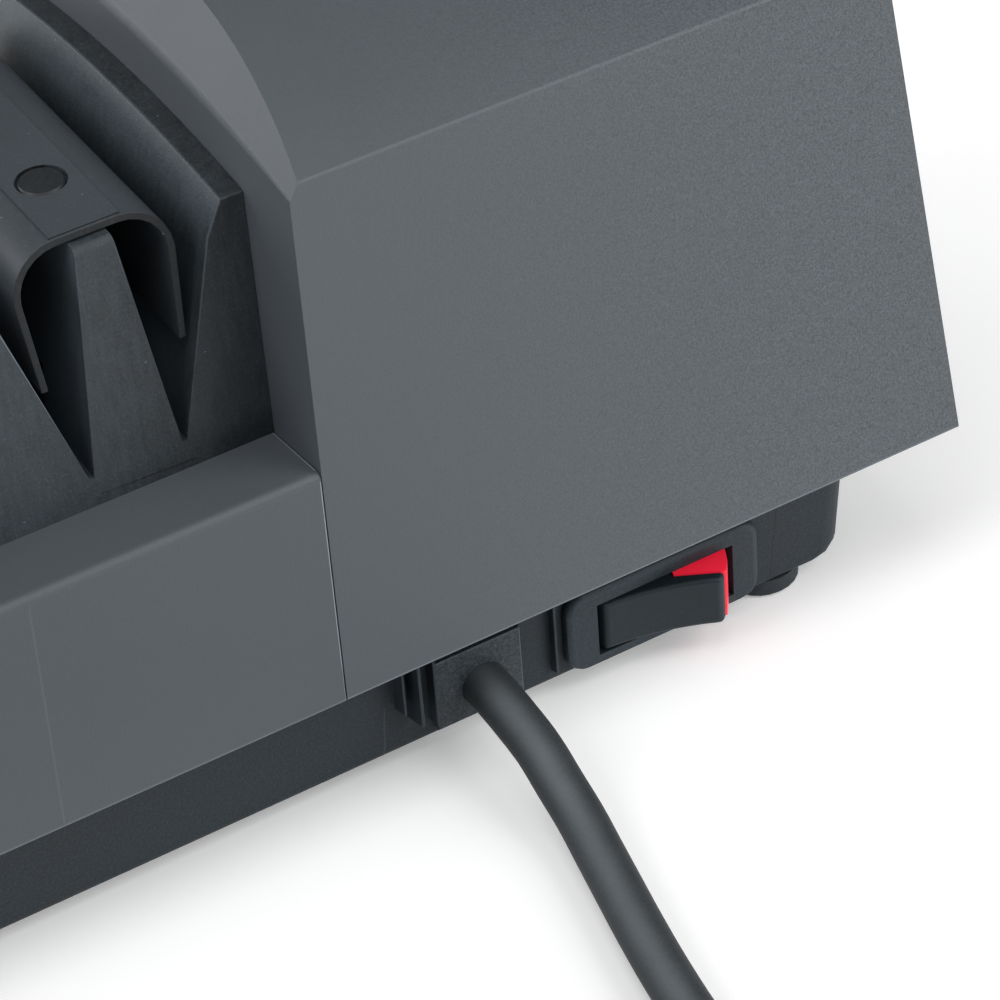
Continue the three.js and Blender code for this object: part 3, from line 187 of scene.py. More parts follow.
# Shader maths: a wrapped socket that takes part in ordinary sums.
class Wire:
    def __init__(self, finish, socket):
        self.finish = finish
        self.socket = socket

    def sum(self, operation, *values):
        return self.finish.node("ShaderNodeMath", {"operation": operation}, dict(enumerate(values)))

    def __add__(self, other):
        return self.sum("ADD", self, other)

    def __sub__(self, other):
        return self.sum("SUBTRACT", self, other)

    def __rsub__(self, other):
        return self.sum("SUBTRACT", other, self)

    def __mul__(self, other):
        return self.sum("MULTIPLY", self, other)

    def __truediv__(self, other):
        return self.sum("DIVIDE", self, other)

    def __pow__(self, other):
        return self.sum("POWER", self, other)

    def __gt__(self, other):
        return self.sum("GREATER_THAN", self, other)

    def __lt__(self, other):
        return self.sum("LESS_THAN", self, other)

    __radd__ = __add__
    __rmul__ = __mul__

    def size(self):
        return self.sum("ABSOLUTE", self)

    def eased(self, low, high):  # 0 below low, 1 above high
        settings = {"interpolation_type": "SMOOTHSTEP"}
        return self.finish.node("ShaderNodeMapRange", settings, {"Value": self, "From Min": low, "From Max": high})


class Finish:
    def __init__(self, name):
        self.material = bpy.data.materials.new(name)
        self.material.use_nodes = True
        self.tree = self.material.node_tree
        self.shader = self.tree.nodes["Principled BSDF"]
        self.place = self.node("ShaderNodeTexCoord", {}, {}, "Object")

    # Any node: its settings are set first, then the values or links of its sockets.
    def node(self, kind, settings, sockets, output=0):
        made = self.tree.nodes.new(kind)
        for key, value in settings.items():
            setattr(made, key, value)
        for key, value in sockets.items():
            self.feed(made.inputs[key], value)
        return Wire(self, made.outputs[output])

    def feed(self, socket, value):
        if isinstance(value, Wire):
            self.tree.links.new(value.socket, socket)
        else:
            socket.default_value = value

    def set(self, **sockets):
        for key, value in sockets.items():
            self.feed(self.shader.inputs[key.replace("_", " ")], value)

    def noise(self, scale, detail, roughness, stretch=None):
        place = self.place
        if stretch:
            place = self.node("ShaderNodeVectorMath", {"operation": "MULTIPLY"}, {0: place, 1: stretch})
        sockets = {"Vector": place, "Scale": scale, "Detail": detail, "Roughness": roughness}
        return self.node("ShaderNodeTexNoise", {}, sockets)

    def blend(self, factor, low, high):  # two colours
        sockets = {0: factor, 6: low, 7: high}  # the mix node's places for two colours
        return self.node("ShaderNodeMix", {"data_type": "RGBA"}, sockets, 2)

    def rim(self):  # 1 on rounded edges, 0 on the faces
        return self.node("ShaderNodeAttribute", {"attribute_name": "rim"}, {}, "Fac")

    def scaled(self, colour, factor):  # one colour, lighter or darker
        sockets = {"Vector": colour, "Scale": factor}
        return self.node("ShaderNodeVectorMath", {"operation": "SCALE"}, sockets)

    def along(self, axis, vector=None):  # one coordinate of the part, or of another vector
        return self.node("ShaderNodeSeparateXYZ", {}, {"Vector": vector or self.place}, axis)

    def facing(self, axis):  # one component of the surface's direction
        return self.along(axis, self.node("ShaderNodeTexCoord", {}, {}, "Normal"))

    def front(self):  # 1 where the surface faces the front
        return (0 - self.facing("Y")).eased(0.2, 0.5)

    def bump(self, height, depth):
        return self.node("ShaderNodeBump", {}, {"Height": height, "Distance": depth}, "Normal")


def shade(colour, factor):
    return tuple(min(c * factor, 1) for c in colour) + (1,)


# Marks on plastic, real ones and painted light and shade: each gives an amount to add to the plastic's lightness.
# Places are in metres.
markStyle = {
    "hairEnds": 3,  # of a hairline's width
    "footFade": 0.0002,
    "guideFacing": (0.5, 0.8),
    "sideFacing": (0.85, 0.95),
    "cutFacing": (0.7, 0.9),
    "troughFacing": (0.3, 0.6),
    "troughReach": (0.020, 0.034),
    "troughDepth": (0.060, 0.092),
    "streakStretch": (1, 1, 0.12),
}


def hairline(start, end, width, light):  # on the front, between two points given by x and z
    def mark(finish):
        reach = math.dist(start, end)
        u, v = ((b - a) / reach for a, b in zip(start, end))
        x, z = finish.along("X") - start[0], finish.along("Z") - start[1]
        along, aside = x * u + z * v, (x * v - z * u).size()
        fade = markStyle["hairEnds"] * width
        ends = along.eased(0, fade) * (reach - along).eased(0, fade)
        return (1 - aside / width).eased(0, 1) * ends * finish.front() * light
    return mark


def paintedShadeAcross(start, end, light):  # painted shade, from none at x = start to all of it at x = end
    return lambda finish: finish.along("X").eased(start, end) * light


def bladeRubAndHighlight(low, high, light):  # guides rubbed by blades, more towards their tops, with a painted highlight on the slanted bands
    def mark(finish):
        return finish.along("Z").eased(low, high) * finish.facing("X").size().eased(*markStyle["guideFacing"]) * light
    return mark


def dustSpecks(scale, size, light):
    def mark(finish):
        gap = finish.node("ShaderNodeTexVoronoi", {}, {"Vector": finish.place, "Scale": scale}, "Distance")
        return (size - gap).eased(0, size / 3) * light
    return mark


def streaks(scale, light):  # faint upright draw marks
    return lambda finish: (finish.noise(scale, 3, 0.6, markStyle["streakStretch"]) - 0.5) * light


def paintedLightBelow(left, right, height, light):  # below a height on the front: a painted highlight along a lower edge, painted shade where the amount is negative
    def mark(finish):
        x, z = finish.along("X"), finish.along("Z")
        below = 1 - z.eased(height, height + markStyle["footFade"])
        return (x > left) * (right > x) * below * finish.front() * light
    return mark


def paintedEdgeHighlight(left, right, light):  # painted highlight: edges that are brighter between two places along X
    return lambda finish: (finish.along("X") > left) * (right > finish.along("X")) * finish.rim() * light


def paintedSideShade(above, light):  # painted shade on faces turned to either side, above a height
    def mark(finish):
        return finish.facing("X").size().eased(*markStyle["sideFacing"]) * (finish.along("Z") > above) * light
    return mark


def paintedTroughLight(light):  # painted light on the slots' side walls, deep inside
    def mark(finish):
        within = 1 - finish.along("Y").size().eased(*markStyle["troughReach"])
        deep = 1 - finish.along("Z").eased(*markStyle["troughDepth"])
        return within * deep * finish.facing("X").size().eased(*markStyle["troughFacing"]) * light
    return mark


def paintedReliefLight(depth, light):  # painted light on faces that stand out further to the front than depth
    return lambda finish: (depth > finish.along("Y")) * finish.front() * light


def paintedEndShade(light):  # painted shade on the cut ends of a sheet
    return lambda finish: finish.facing("Y").size().eased(*markStyle["cutFacing"]) * light


# Moulded plastic: an even grain with flecks, a slow mottle, and a painted highlight on the rounded edges (painted
# shade where its amount is below zero).
plasticMix = {
    "fleckSize": 0.9,  # of the grain's scale
    "fleckRange": (0.52, 0.72),
    "darkest": 0.15,
    "mottleRoughness": 0.12,
    "grainRoughness": 0.2,
    "grainRelief": 0.7,
    "fleckRelief": 0.3,
}


def mouldedPlastic(name, look):
    finish = Finish(name)
    grain = finish.noise(look["grainScale"], 3, 0.6)
    fleck = finish.noise(look["grainScale"] * plasticMix["fleckSize"], 2, 0.5).eased(*plasticMix["fleckRange"])
    mottle = finish.noise(look["mottleScale"], 4, 0.55)
    rim = finish.rim()
    grainTone = look["grainTone"]
    if "sparkle" in look:  # painted glints: the grain shows more contrast towards the far end
        start, end, tone = look["sparkle"]
        grainTone = finish.along("X").eased(start, end) * tone + grainTone
    lightness = (grain - 0.5) * grainTone + (mottle - 0.5) * look["mottleTone"]
    # the rim term is a painted highlight on the rounded edges, painted shade where its amount is negative
    lightness = lightness + fleck * look["fleckTone"] + rim * look["rimPaintedLight"] + 1
    for mark in look.get("marks", ()):
        lightness = lightness + mark(finish)
    unevenness = (mottle - 0.5) * plasticMix["mottleRoughness"] + (grain - 0.5) * plasticMix["grainRoughness"]
    relief = grain * plasticMix["grainRelief"] + fleck * plasticMix["fleckRelief"]
    finish.set(
        Base_Color=finish.scaled(look["colour"], lightness.sum("MAXIMUM", lightness, plasticMix["darkest"])),
        Roughness=unevenness + look["roughness"] - rim * look["rimPolish"],
        Normal=finish.bump(relief, look["grainDepth"]),
        Specular_IOR_Level=look["gloss"],
    )
    if "glow" in look:  # painted glow: emission, bright where it faces the front or up, with a painted pale highlight at the right end
        outward = finish.front() + finish.facing("Z").eased(0.3, 0.6)
        pale = finish.along("X").eased(*look["paleSpan"]) * finish.front()
        lit = finish.blend(pale, finish.scaled(look["colour"], outward), look["pale"])
        finish.set(Emission_Color=lit, Emission_Strength=look["glow"])
    return finish


slateLook = {
    "colour": (0.079, 0.091, 0.103), "roughness": 0.50, "gloss": 0.5, "grainScale": 3300, "grainDepth": 0.00003,
    "grainTone": 0.3, "fleckTone": 0.03, "mottleScale": 28, "mottleTone": 0.10, "rimPaintedLight": 0.12, "rimPolish": 0.0,
    # painted glints on the grain towards the far end, and a painted highlight along the bottom edge
    "sparkle": (0.030, 0.125, 2.0), "marks": [paintedLightBelow(-1, 1, 0.0240, 0.9)],
}
blackLook = {
    "colour": (0.0150, 0.0225, 0.0290), "roughness": 0.58, "gloss": 0.36, "grainScale": 2700, "grainDepth": 0.00006,
    "grainTone": 2.4, "fleckTone": 0.3, "mottleScale": 45, "mottleTone": 0.5, "rimPaintedLight": 0.3, "rimPolish": 0.04,
}
finishLooks = {
    "slate": slateLook,
    "panelSlate": {
        # painted glints on the grain, painted highlights on the rounded edges, the right edge and along the bottom
        # edge, and a light hairline
        **slateLook, "colour": (0.076, 0.088, 0.099), "sparkle": (0.0, 0.2, 0.3), "grainTone": 0.2, "rimPaintedLight": 0.7,
        "marks": [
            hairline((-0.01611, 0.024), (-0.01424, 0.058), 0.00022, 0.30), paintedEdgeHighlight(0.0262, 0.03, 1.3),
            paintedLightBelow(-1, 1, 0.0240, 0.4),
        ],
    },
    "black": blackLook,
    "baseBlack": {
        **blackLook,
        # a light and a dark hairline, and painted light on the faces that stand out to the front
        "marks": [
            hairline((0.0345, 0.003), (0.0352, 0.012), 0.00022, 1.2),
            hairline((0.0990, 0.003), (0.1014, 0.024), 0.00022, -0.55), paintedReliefLight(-0.0446, 0.35),
        ],
    },
    # a strong painted highlight on the plate's rounded edges
    "plateBlack": {**blackLook, "colour": (0.036, 0.046, 0.054), "fleckTone": 0.5, "grainTone": 3.2, "rimPaintedLight": 1.2},
    "rockerBlack": {
        **blackLook, "colour": (0.0100, 0.0180, 0.0240), "grainTone": 0.9, "fleckTone": 0.3, "grainDepth": 0.00003,
        "rimPaintedLight": 0.2,
    },
    "insertBlack": {
        "colour": (0.0345, 0.0445, 0.0530), "roughness": 0.56, "gloss": 0.5, "grainScale": 3000, "grainDepth": 0.00004,
        "grainTone": 1.1, "fleckTone": 0.3, "mottleScale": 160, "mottleTone": 0.5, "rimPaintedLight": 0.5, "rimPolish": 0.04,
        # painted shade towards the right wall, painted highlights on edges, painted light deep in the slots, painted
        # shade below the line at the foot; dust, streaks and blade rubbing are the insert's own
        "marks": [
            paintedShadeAcross(-0.012, 0.030, -0.44), bladeRubAndHighlight(0.084, 0.0925, 0.9), dustSpecks(260, 0.04, 2.5),
            streaks(1100, 0.8), paintedEdgeHighlight(-0.012, 0.0022, 2.0), paintedTroughLight(2.6),
            hairline((0.0023, 0.0591), (0.0167, 0.0586), 0.00018, -0.5),
            hairline((0.00225, 0.0591), (0.00225, 0.056), 0.00016, -0.4), paintedLightBelow(0.0023, 0.0167, 0.0588, -0.12),
        ],
    },
    "springGrey": {
        "colour": (0.045, 0.054, 0.064), "roughness": 0.52, "gloss": 0.4, "grainScale": 2400, "grainDepth": 0.00002,
        # painted shade on the rounded edges, the cut ends of the sheet and the strip's sides; dust specks
        "grainTone": 0.4, "fleckTone": 0.2, "mottleScale": 60, "mottleTone": 0.3, "rimPaintedLight": -0.2, "rimPolish": 0.0,
        "marks": [paintedEndShade(-0.8), paintedSideShade(0.0949, -0.7), dustSpecks(300, 0.04, 3.0)],
    },
    "pinBlack": {
        "colour": (0.014, 0.017, 0.020), "roughness": 0.44, "gloss": 0.4, "grainScale": 2600, "grainDepth": 0.00002,
        "grainTone": 0.5, "fleckTone": 0.3, "mottleScale": 160, "mottleTone": 0.8, "rimPaintedLight": 0.6, "rimPolish": 0.1,
        "marks": [streaks(1500, 1.5)],
    },
    "red": {
        "colour": (0.90, 0.018, 0.048), "roughness": 0.34, "gloss": 0.5, "grainScale": 2600, "grainDepth": 0.00001,
        "grainTone": 0.1, "fleckTone": 0.0, "mottleScale": 60, "mottleTone": 0.1, "rimPaintedLight": 0.05, "rimPolish": 0.05,
        # painted glow, a painted pale highlight at the right end and painted shade on the sides
        "glow": 0.37, "paleSpan": (0.0907, 0.0912), "pale": (1.6, 1.0, 1.1, 1), "marks": [paintedSideShade(0, -0.9)],
    },
    "rubber": {
        "colour": (0.022, 0.029, 0.035), "roughness": 0.72, "gloss": 0.4, "grainScale": 1800, "grainDepth": 0.00004,
        "grainTone": 0.6, "fleckTone": 0.4, "mottleScale": 90, "mottleTone": 0.5, "rimPaintedLight": 0.3, "rimPolish": 0.1,
    },
    "nylon": {
        "colour": (0.62, 0.60, 0.54), "roughness": 0.42, "gloss": 0.5, "grainScale": 2200, "grainDepth": 0.00001,
        "grainTone": 0.12, "fleckTone": 0.0, "mottleScale": 70, "mottleTone": 0.15, "rimPaintedLight": 0.05, "rimPolish": 0.05,
    },
}


# Metal: brushed or ground, with darker film in places.
metalMix = {
    "darkShade": 0.7,
    "lightShade": 1.1,
    "filmShade": 0.7,
    "brushShade": 0.3,
    "rimShade": 0.2,
    "shadeRange": (0.2, 0.9),
    "filmRoughness": 0.2,
    "brushRoughness": 0.14,
    "roughnessMiddle": 0.17,
}


def workedMetal(name, look):
    finish = Finish(name)
    brush = finish.noise(look["brushScale"], 3, 0.6, stretch=look["brushStretch"])
    film = finish.noise(look["filmScale"], 4, 0.6)
    rim = finish.rim()
    dark, light = (shade(look["colour"], metalMix[tone]) for tone in ("darkShade", "lightShade"))
    spread = film * metalMix["filmRoughness"] + brush * metalMix["brushRoughness"]
    tone = film * metalMix["filmShade"] + brush * metalMix["brushShade"] + rim * metalMix["rimShade"]
    finish.set(
        Base_Color=finish.blend(tone.eased(*metalMix["shadeRange"]), dark, light),
        Metallic=1.0,
        Roughness=spread + look["roughness"] - metalMix["roughnessMiddle"],
        Normal=finish.bump(brush, look["brushDepth"]),
    )
    return finish


metalLooks = {
    "steel": {
        "colour": (0.56, 0.57, 0.58), "roughness": 0.30, "brushScale": 900, "brushStretch": (1, 1, 1),
        "brushDepth": 0.000006, "filmScale": 160,
    },
    "iron": {
        "colour": (0.25, 0.25, 0.26), "roughness": 0.46, "brushScale": 1600, "brushStretch": (6, 0.4, 0.4),
        "brushDepth": 0.00002, "filmScale": 220,
    },
    "alloy": {
        "colour": (0.60, 0.61, 0.62), "roughness": 0.42, "brushScale": 1400, "brushStretch": (1, 1, 1),
        "brushDepth": 0.00002, "filmScale": 120,
    },
    "copper": {
        "colour": (0.72, 0.30, 0.16), "roughness": 0.30, "brushScale": 2400, "brushStretch": (0.2, 1, 1),
        "brushDepth": 0.00004, "filmScale": 200,
    },
    "brass": {
        "colour": (0.70, 0.52, 0.24), "roughness": 0.26, "brushScale": 1200, "brushStretch": (1, 1, 4),
        "brushDepth": 0.000006, "filmScale": 180,
    },
}


# Cord sheath: soft vinyl with faint draw lines, scuffed here and there, with painted shade towards its sides and a
# painted lit stripe along it.
def cordSheath(look):
    finish = Finish("cordGrey")
    scuff = finish.noise(look["scuffScale"], 3, 0.6)
    grain = finish.noise(look["grainScale"], 2, 0.5)
    surface = finish.node("ShaderNodeTexCoord", {}, {}, "Normal")
    aside = finish.node("ShaderNodeVectorMath", {"operation": "DOT_PRODUCT"}, {0: surface, 1: look["side"]}, "Value")
    paintedCordShade = (1 - aside * aside) ** 3 * (1 - look["paintedSideShade"]) + look["paintedSideShade"]  # painted shade: darker where the surface turns towards the side direction, a painted lit stripe between
    tone = (scuff - 0.5) * look["scuffTone"] + (grain - 0.5) * look["grainTone"]
    finish.set(
        Base_Color=finish.scaled(look["colour"], tone + paintedCordShade),
        Roughness=scuff * 0.16 + look["roughness"] - 0.08,
        Normal=finish.bump(grain * 0.6 + scuff * 0.6, look["grainDepth"]),
        Specular_IOR_Level=look["gloss"],
    )
    return finish


sheathLook = {
    "colour": (0.130, 0.146, 0.158), "roughness": 0.55, "gloss": 0.12, "scuffScale": 260, "grainScale": 2400,
    "grainDepth": 0.00002, "side": (0.90, -0.12, 0.42), "paintedSideShade": 0.28, "scuffTone": 0.14, "grainTone": 0.2,
}


# Grinding faces: sharp grit bonded on a disc.
def gritFace(name, look):
    finish = Finish(name)
    grit = finish.node("ShaderNodeTexVoronoi", {}, {"Vector": finish.place, "Scale": look["gritScale"]}, "Distance")
    film = finish.noise(look["filmScale"], 3, 0.6)
    dark, light = (shade(look["colour"], share) for share in look["shades"])
    finish.set(
        Base_Color=finish.blend((1 - grit) * 0.6 + film * 0.4, dark, light),
        Metallic=look["metallic"],
        Roughness=grit * 0.3 + look["roughness"],
        Normal=finish.bump(1 - grit, look["gritDepth"]),
    )
    return finish


gritLooks = {
    "diamond": {
        "colour": (0.34, 0.34, 0.33), "metallic": 0.6, "roughness": 0.35, "gritScale": 3200,
        "shades": (0.6, 1.4), "gritDepth": 0.00006, "filmScale": 120,
    },
    "polisher": {
        "colour": (0.09, 0.085, 0.08), "metallic": 0.0, "roughness": 0.6, "gritScale": 2600,
        "shades": (0.6, 1.4), "gritDepth": 0.00004, "filmScale": 140,
    },
}

finishes = {name: mouldedPlastic(name, look) for name, look in finishLooks.items()}
finishes.update({name: workedMetal(name, look) for name, look in metalLooks.items()})
finishes.update({name: gritFace(name, look) for name, look in gritLooks.items()})
finishes["cordGrey"] = cordSheath(sheathLook)
print("finishes mixed:", len(finishes))



# Copies a solid's mesh, moves its points where reshape asks for it, rounds each edge by the width that the
# rules give it and shades it smooth between hard edges. Each rule is (test of an edge, width or its function);
# the first one that fits decides.
rounding = {
    "steps": 3,
    "hardAngle": 32,  # shading breaks at edges sharper than this, in degrees
    "flatAngle": 0.4,
    "mergeDistance": 0.004,  # millimetres, as the shortest below
    "sharpAngle": 30,
    "shortest": 1.2,
}


def roundedCopy(name, rules, reshape):
    mesh = bmesh.new()
    mesh.from_mesh(nodes[name].data)
    bmesh.ops.remove_doubles(mesh, verts=mesh.verts, dist=rounding["mergeDistance"] * mm)
    if reshape:
        for vertex in mesh.verts:
            vertex.co = reshape(vertex.co)
    flat = math.radians(rounding["flatAngle"])
    bmesh.ops.dissolve_limit(mesh, angle_limit=flat, verts=mesh.verts, edges=mesh.edges)
    mesh.normal_update()
    widths = {edge.index: widthOf(edge, rules) for edge in mesh.edges}
    widest = max(widths.values())
    if widest > 0:
        mesh = bevelled(name, mesh, widths, widest)
    for face in mesh.faces:
        face.smooth = True
    hard = math.radians(rounding["hardAngle"])
    for edge in mesh.edges:
        edge.smooth = len(edge.link_faces) == 2 and edge.calc_face_angle(0) < hard
    data = bpy.data.meshes.new(name + "_dressed")
    mesh.to_mesh(data)
    mesh.free()
    return data


def widthOf(edge, rules):
    if len(edge.link_faces) != 2 or not edge.is_convex:
        return 0
    for test, width in rules:
        if test(edge):
            return width(edge) if callable(width) else width
    return 0


# Rounds the edges by their own widths, and marks what is rounded for the finishes.
def bevelled(name, mesh, widths, widest):
    layer = mesh.edges.layers.float.new("bevel_weight_edge")
    for edge in mesh.edges:
        edge[layer] = widths[edge.index] / widest
    data = bpy.data.meshes.new(name + "_plain")
    mesh.to_mesh(data)
    mesh.free()
    for finish in ("slate", "black"):
        data.materials.append(finishes[finish].material)
    helper = bpy.data.objects.new(name + "_plain", data)
    bpy.context.scene.collection.objects.link(helper)
    bevel = helper.modifiers.new("roundEdges", "BEVEL")
    bevel.width = widest
    bevel.segments = rounding["steps"]
    bevel.limit_method = "WEIGHT"
    bevel.offset_type = "OFFSET"
    bevel.use_clamp_overlap = False
    bevel.miter_outer = "MITER_ARC"
    bevel.material = 1
    rounded = bpy.data.meshes.new_from_object(helper.evaluated_get(bpy.context.evaluated_depsgraph_get()))
    bpy.data.objects.remove(helper)
    bpy.data.meshes.remove(data)
    mesh = bmesh.new()
    mesh.from_mesh(rounded)
    bpy.data.meshes.remove(rounded)
    rimLayer = mesh.faces.layers.float.new("rim")
    for face in mesh.faces:
        face[rimLayer] = face.material_index
        face.material_index = 0
    return mesh


def sharp(edge, least=rounding["sharpAngle"]):
    return math.degrees(edge.calc_face_angle(0)) > least


def sharpAndLong(edge, shortest=rounding["shortest"]):
    return sharp(edge) and edge.calc_length() > shortest * mm


def middle(edge):
    return (edge.verts[0].co + edge.verts[1].co) / 2


def facings(edge):  # directions of the two faces beside the edge
    return [face.normal for face in edge.link_faces]


def dress(name, finish, slot, rules, reshape):
    piece = bpy.data.objects.new(name + "_piece", roundedCopy(name, rules, reshape))
    bpy.context.scene.collection.objects.link(piece)
    piece.data.materials.append(finishes[finish].material)
    even = piece.modifiers.new("evenShading", "WEIGHTED_NORMAL")
    even.keep_sharp = True
    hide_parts(name)
    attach(piece, bodyOf[name])


# End covers: a soft edge where the slot wall meets its bevel, fading out towards the front and the rear.
# Sizes from here to the small pieces are in millimetres, and facings are shares of a straight-on view.
coverShape = {
    "wallFacing": 0.95, "bevelRise": (0.4, 0.8), "bevelFacing": 0.5, "fadeHalf": 45, "fadeSlope": 0.035,
    "softLeast": 0.04, "softMost": 1.1, "creaseLevel": 98, "creaseRun": 0.9, "creaseAngle": 15,
    "creaseWidth": 0.3, "footLevel": 25, "footWidth": 0.25,
}


def slotBevelEdge(edge):
    wall, bevel = sorted(facings(edge), key=lambda facing: abs(facing.z))
    low, high = coverShape["bevelRise"]
    upright = abs(wall.x) > coverShape["wallFacing"]
    return upright and low < bevel.z < high and abs(bevel.x) > coverShape["bevelFacing"]


def creaseEdge(edge):
    along = edge.verts[1].co - edge.verts[0].co
    upper = middle(edge).z > coverShape["creaseLevel"] * mm
    lengthwise = abs(along.x) > coverShape["creaseRun"] * along.length
    return upper and lengthwise and sharp(edge, coverShape["creaseAngle"])


def fadingWidth(edge):
    least, most = coverShape["softLeast"], coverShape["softMost"]
    inside = coverShape["fadeHalf"] - abs(middle(edge).y) / mm
    return mm * min(max(least + coverShape["fadeSlope"] * inside, least), most)


def bottomEdge(edge):
    return middle(edge).z < coverShape["footLevel"] * mm and sharp(edge)


coverRules = [
    (slotBevelEdge, fadingWidth),
    (creaseEdge, coverShape["creaseWidth"] * mm),
    (bottomEdge, coverShape["footWidth"] * mm),
]


# Panels: the ledge reaches up to the insert and the right end to the cover; the inner edge stays crisp.
panelShape = {"innerHalf": 36, "innerReach": 0.26, "endFrom": 24, "endReach": 0.16, "edgeWidth": 0.22}


def panelReach(point):
    if abs(point.y) < panelShape["innerHalf"] * mm:
        point.y -= math.copysign(panelShape["innerReach"] * mm, point.y)
    if point.x > panelShape["endFrom"] * mm:
        point.x += panelShape["endReach"] * mm
    return point


def panelInnerEdge(edge):
    return abs(middle(edge).y) < panelShape["innerHalf"] * mm


panelRules = [(panelInnerEdge, 0), (sharpAndLong, panelShape["edgeWidth"] * mm)]


# Slot insert: its ends touch the covers.
insertShape = {
    "rightFrom": 25.9, "leftFrom": -85.0, "endReach": 0.24, "middle": -29.8, "endsFrom": 55, "crownLevel": 90,
    "crownWidth": 0.12, "edgeWidth": 0.24, "endFacing": 0.99,
}


def insertReach(point):
    if point.x > insertShape["rightFrom"] * mm:
        point.x += insertShape["endReach"] * mm
    elif point.x < insertShape["leftFrom"] * mm:
        point.x -= insertShape["endReach"] * mm
    return point


def insertEnd(edge):
    outside = abs(middle(edge).x - insertShape["middle"] * mm) > insertShape["endsFrom"] * mm
    return outside and any(abs(facing.x) > insertShape["endFacing"] for facing in facings(edge))


def crownEnd(edge):
    return insertEnd(edge) and middle(edge).z > insertShape["crownLevel"] * mm


insertRules = [
    (crownEnd, insertShape["crownWidth"] * mm),
    (insertEnd, 0),
    (sharpAndLong, insertShape["edgeWidth"] * mm),
]


# Base tray: a broad rounding round the switch bezel, the rest with fine edges.
bezelShape = {
    "across": (63, 97), "windowAcross": (68.5, 92.3), "windowUp": (5.2, 15.1), "front": -44.8,
    "lowWidth": 0.3, "width": 1.2, "growFrom": 4, "growOver": 3,
}
trayEdge = {"above": 4.5, "width": 0.15}


def between(value, span):
    return span[0] * mm < value < span[1] * mm


def bezelEdge(edge):
    place = middle(edge)
    window = between(place.x, bezelShape["windowAcross"]) and between(place.z, bezelShape["windowUp"])
    return between(place.x, bezelShape["across"]) and place.y < bezelShape["front"] * mm and not window


def bezelWidth(edge):  # narrower under the switch
    low, full = bezelShape["lowWidth"], bezelShape["width"]
    growth = (middle(edge).z / mm - bezelShape["growFrom"]) / bezelShape["growOver"]
    return mm * min(max(low + (full - low) * growth, low), full)


def upperEdge(edge):
    return middle(edge).z > trayEdge["above"] * mm and sharpAndLong(edge)


baseRules = [(bezelEdge, bezelWidth), (upperEdge, trayEdge["width"] * mm)]


# Cord plate: its hole closes on the cord, its left edge meets the rib and its top nears the opening's.
plateShape = {
    "front": -43, "leftTo": 43.6, "leftReach": 0.6, "topFrom": 15.9, "topReach": 0.35, "hole": (50.5, 9.4),
    "holeReach": 4.2, "holeRadius": 3.5, "roundedFrom": 44, "shortest": 1.6, "edgeWidth": 0.2,
}


def narrowHole(point):
    front = point.y < plateShape["front"] * mm
    if front and point.x < plateShape["leftTo"] * mm:
        point.x -= plateShape["leftReach"] * mm
    if front and point.z > plateShape["topFrom"] * mm:
        point.z += plateShape["topReach"] * mm
    x, z = plateShape["hole"]
    across = Vector((point.x - x * mm, 0, point.z - z * mm))
    if across.length < plateShape["holeReach"] * mm:
        point -= across * (1 - plateShape["holeRadius"] * mm / across.length)
    return point


def rightPart(edge):
    return middle(edge).x > plateShape["roundedFrom"] * mm and sharpAndLong(edge, plateShape["shortest"])


# Rocker, plug and guide springs.
smallShape = {
    "frontFacing": 0.4, "rockerFront": 0.7, "rockerEdge": 0.15, "plugShortest": 3, "plugEdge": 1.2,
    "sheetBelow": 94.87, "sheetEdge": 0.12,
}


def frontEdge(edge):
    return any(facing.y < -smallShape["frontFacing"] for facing in facings(edge)) and sharp(edge)


def plugEdge(edge):
    return sharpAndLong(edge, smallShape["plugShortest"])


def sheetEdge(edge):  # all but the strip's low step
    return middle(edge).z < smallShape["sheetBelow"] * mm and sharpAndLong(edge)


rockerRules = [(frontEdge, smallShape["rockerFront"] * mm), (sharpAndLong, smallShape["rockerEdge"] * mm)]
plugRules = [(plugEdge, smallShape["plugEdge"] * mm)]
sheetRules = [(sheetEdge, smallShape["sheetEdge"] * mm)]
plateRules = [(rightPart, plateShape["edgeWidth"] * mm)]

pieceLooks = {
    # piece: finish, slot, rules for its edges, reshape
    "right_end_cover": ("slate", "slate", coverRules, None),
    "left_end_cover": ("slate", "slate", coverRules, None),
    "front_panel": ("panelSlate", "slate", panelRules, panelReach),
    "rear_panel": ("slate", "slate", panelRules, panelReach),
    "slot_insert": ("insertBlack", "black", insertRules, insertReach),
    "base_tray": ("baseBlack", "black", baseRules, None),
    "cord_plate": ("plateBlack", "black", plateRules, narrowHole),
    "rocker_cap": ("rockerBlack", "black", rockerRules, None),
    "rocker_flag": ("red", "red", [], None),
    "switch_body": ("black", "black", [], None),
    "plug_body": ("black", "black", plugRules, None),
}
for i in (1, 2, 3):
    pieceLooks[f"guide_spring_{i}"] = ("springGrey", "spring_grey", sheetRules, None)
    for side in ("front", "rear"):
        pieceLooks[f"spring_pin_{i}_{side}"] = ("pinBlack", "black", [], None)
for place in ("front_left", "front_right", "rear_left", "rear_right"):
    pieceLooks[f"foot_{place}"] = ("rubber", "rubber", [], None)

for name, look in pieceLooks.items():
    dress(name, *look)
print("pieces dressed:", len(pieceLooks))

# The other nodes keep their own shape and take a finish.
keptFinishes = ("steel", "iron", "alloy", "copper", "brass", "nylon", "rubber", "diamond", "polisher", "black")
for name, node in nodes.items():
    if node.hide_render or name.startswith("cord_s") or name in ("cord_coil", "cord_tail"):
        continue
    slotName = node.material_slots[0].material.name.split(".")[0]
    if slotName in keptFinishes:
        node.material_slots[0].material = finishes[slotName].material
        weld = node.modifiers.new("weld", "WELD")
        weld.merge_threshold = 0.004 * mm

mainsCord.data.materials.append(finishes["cordGrey"].material)
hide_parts("cord_stretch", "cord_coil", "cord_tail")
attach(mainsCord, "housing")


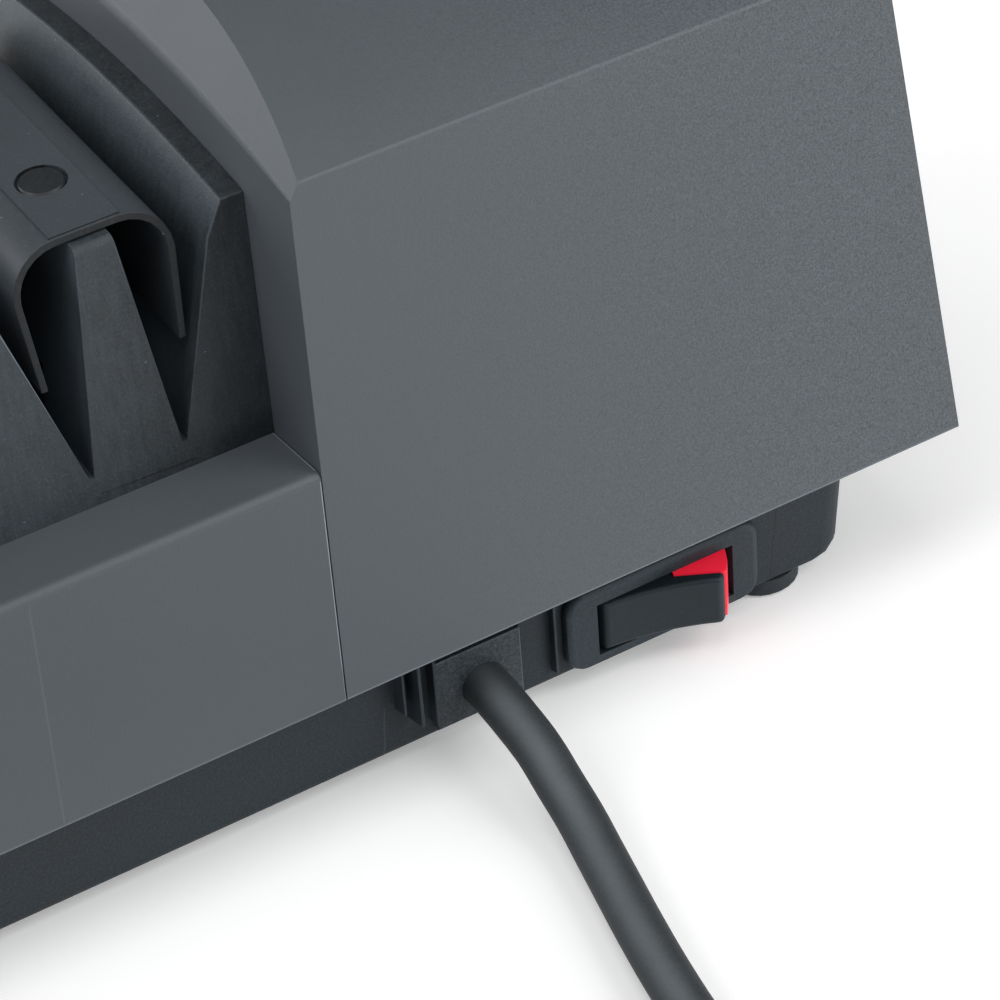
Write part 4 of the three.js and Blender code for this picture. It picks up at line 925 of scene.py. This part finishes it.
# Studio: a pale floor that lifts the lower faces, soft lights, even surroundings.
studio = {
    "floorSize": 6.0,
    "floorTones": ((0.90, 0.90, 0.90, 1), (0.93, 0.93, 0.93, 1)),
    "floorPatches": 2.0,
    "floorGlow": 0.252,
    "surround": 0.2,
    "aim": (0.03, 0, 0.05),
    "distance": 1.5,
    "boxSize": 0.8,
    # name, degrees round from +X, degrees up, watts
    "lights": [
        ("backLeftBox", 135, 15, 7.4),
        ("leftBox", 180, 45, 7.7),
        ("overheadBox", 240, 75, 5.3),
        ("frontLowBox", 315, 15, 7.7),
        ("frontBox", 315, 45, 7.3),
    ],
}


def makeFloor(look):
    half = look["floorSize"] / 2
    data = bpy.data.meshes.new("floor")
    data.from_pydata([(-half, -half, 0), (half, -half, 0), (half, half, 0), (-half, half, 0)], [], [(0, 1, 2, 3)])
    floor = bpy.data.objects.new("floor", data)
    bpy.context.scene.collection.objects.link(floor)
    finish = Finish("paleFloor")
    tone = finish.noise(look["floorPatches"], 2, 0.5)
    finish.set(
        Base_Color=finish.blend(tone, *look["floorTones"]),
        Roughness=0.9,
        Specular_IOR_Level=0.0,
        Emission_Color=(1, 1, 1, 1),
        Emission_Strength=look["floorGlow"],
    )
    data.materials.append(finish.material)


def makeLights(look):
    aim = Vector(look["aim"])
    for name, turn, rise, watts in look["lights"]:
        data = bpy.data.lights.new(name, "AREA")
        data.size = look["boxSize"]
        data.energy = watts
        turn, rise = math.radians(turn), math.radians(rise)
        way = Vector((math.cos(rise) * math.cos(turn), math.cos(rise) * math.sin(turn), math.sin(rise)))
        lamp = bpy.data.objects.new(name, data)
        facing = (-way).to_track_quat("-Z", "Y").to_matrix().to_4x4()
        lamp.matrix_world = Matrix.Translation(aim + way * look["distance"]) @ facing
        bpy.context.scene.collection.objects.link(lamp)
    world = bpy.data.worlds.new("surround")
    world.use_nodes = True
    world.node_tree.nodes["Background"].inputs["Color"].default_value = (1, 1, 1, 1)
    world.node_tree.nodes["Background"].inputs["Strength"].default_value = look["surround"]
    bpy.context.scene.world = world


makeFloor(studio)
makeLights(studio)
bpy.context.scene.view_settings.view_transform = "Standard"
print("studio lit")
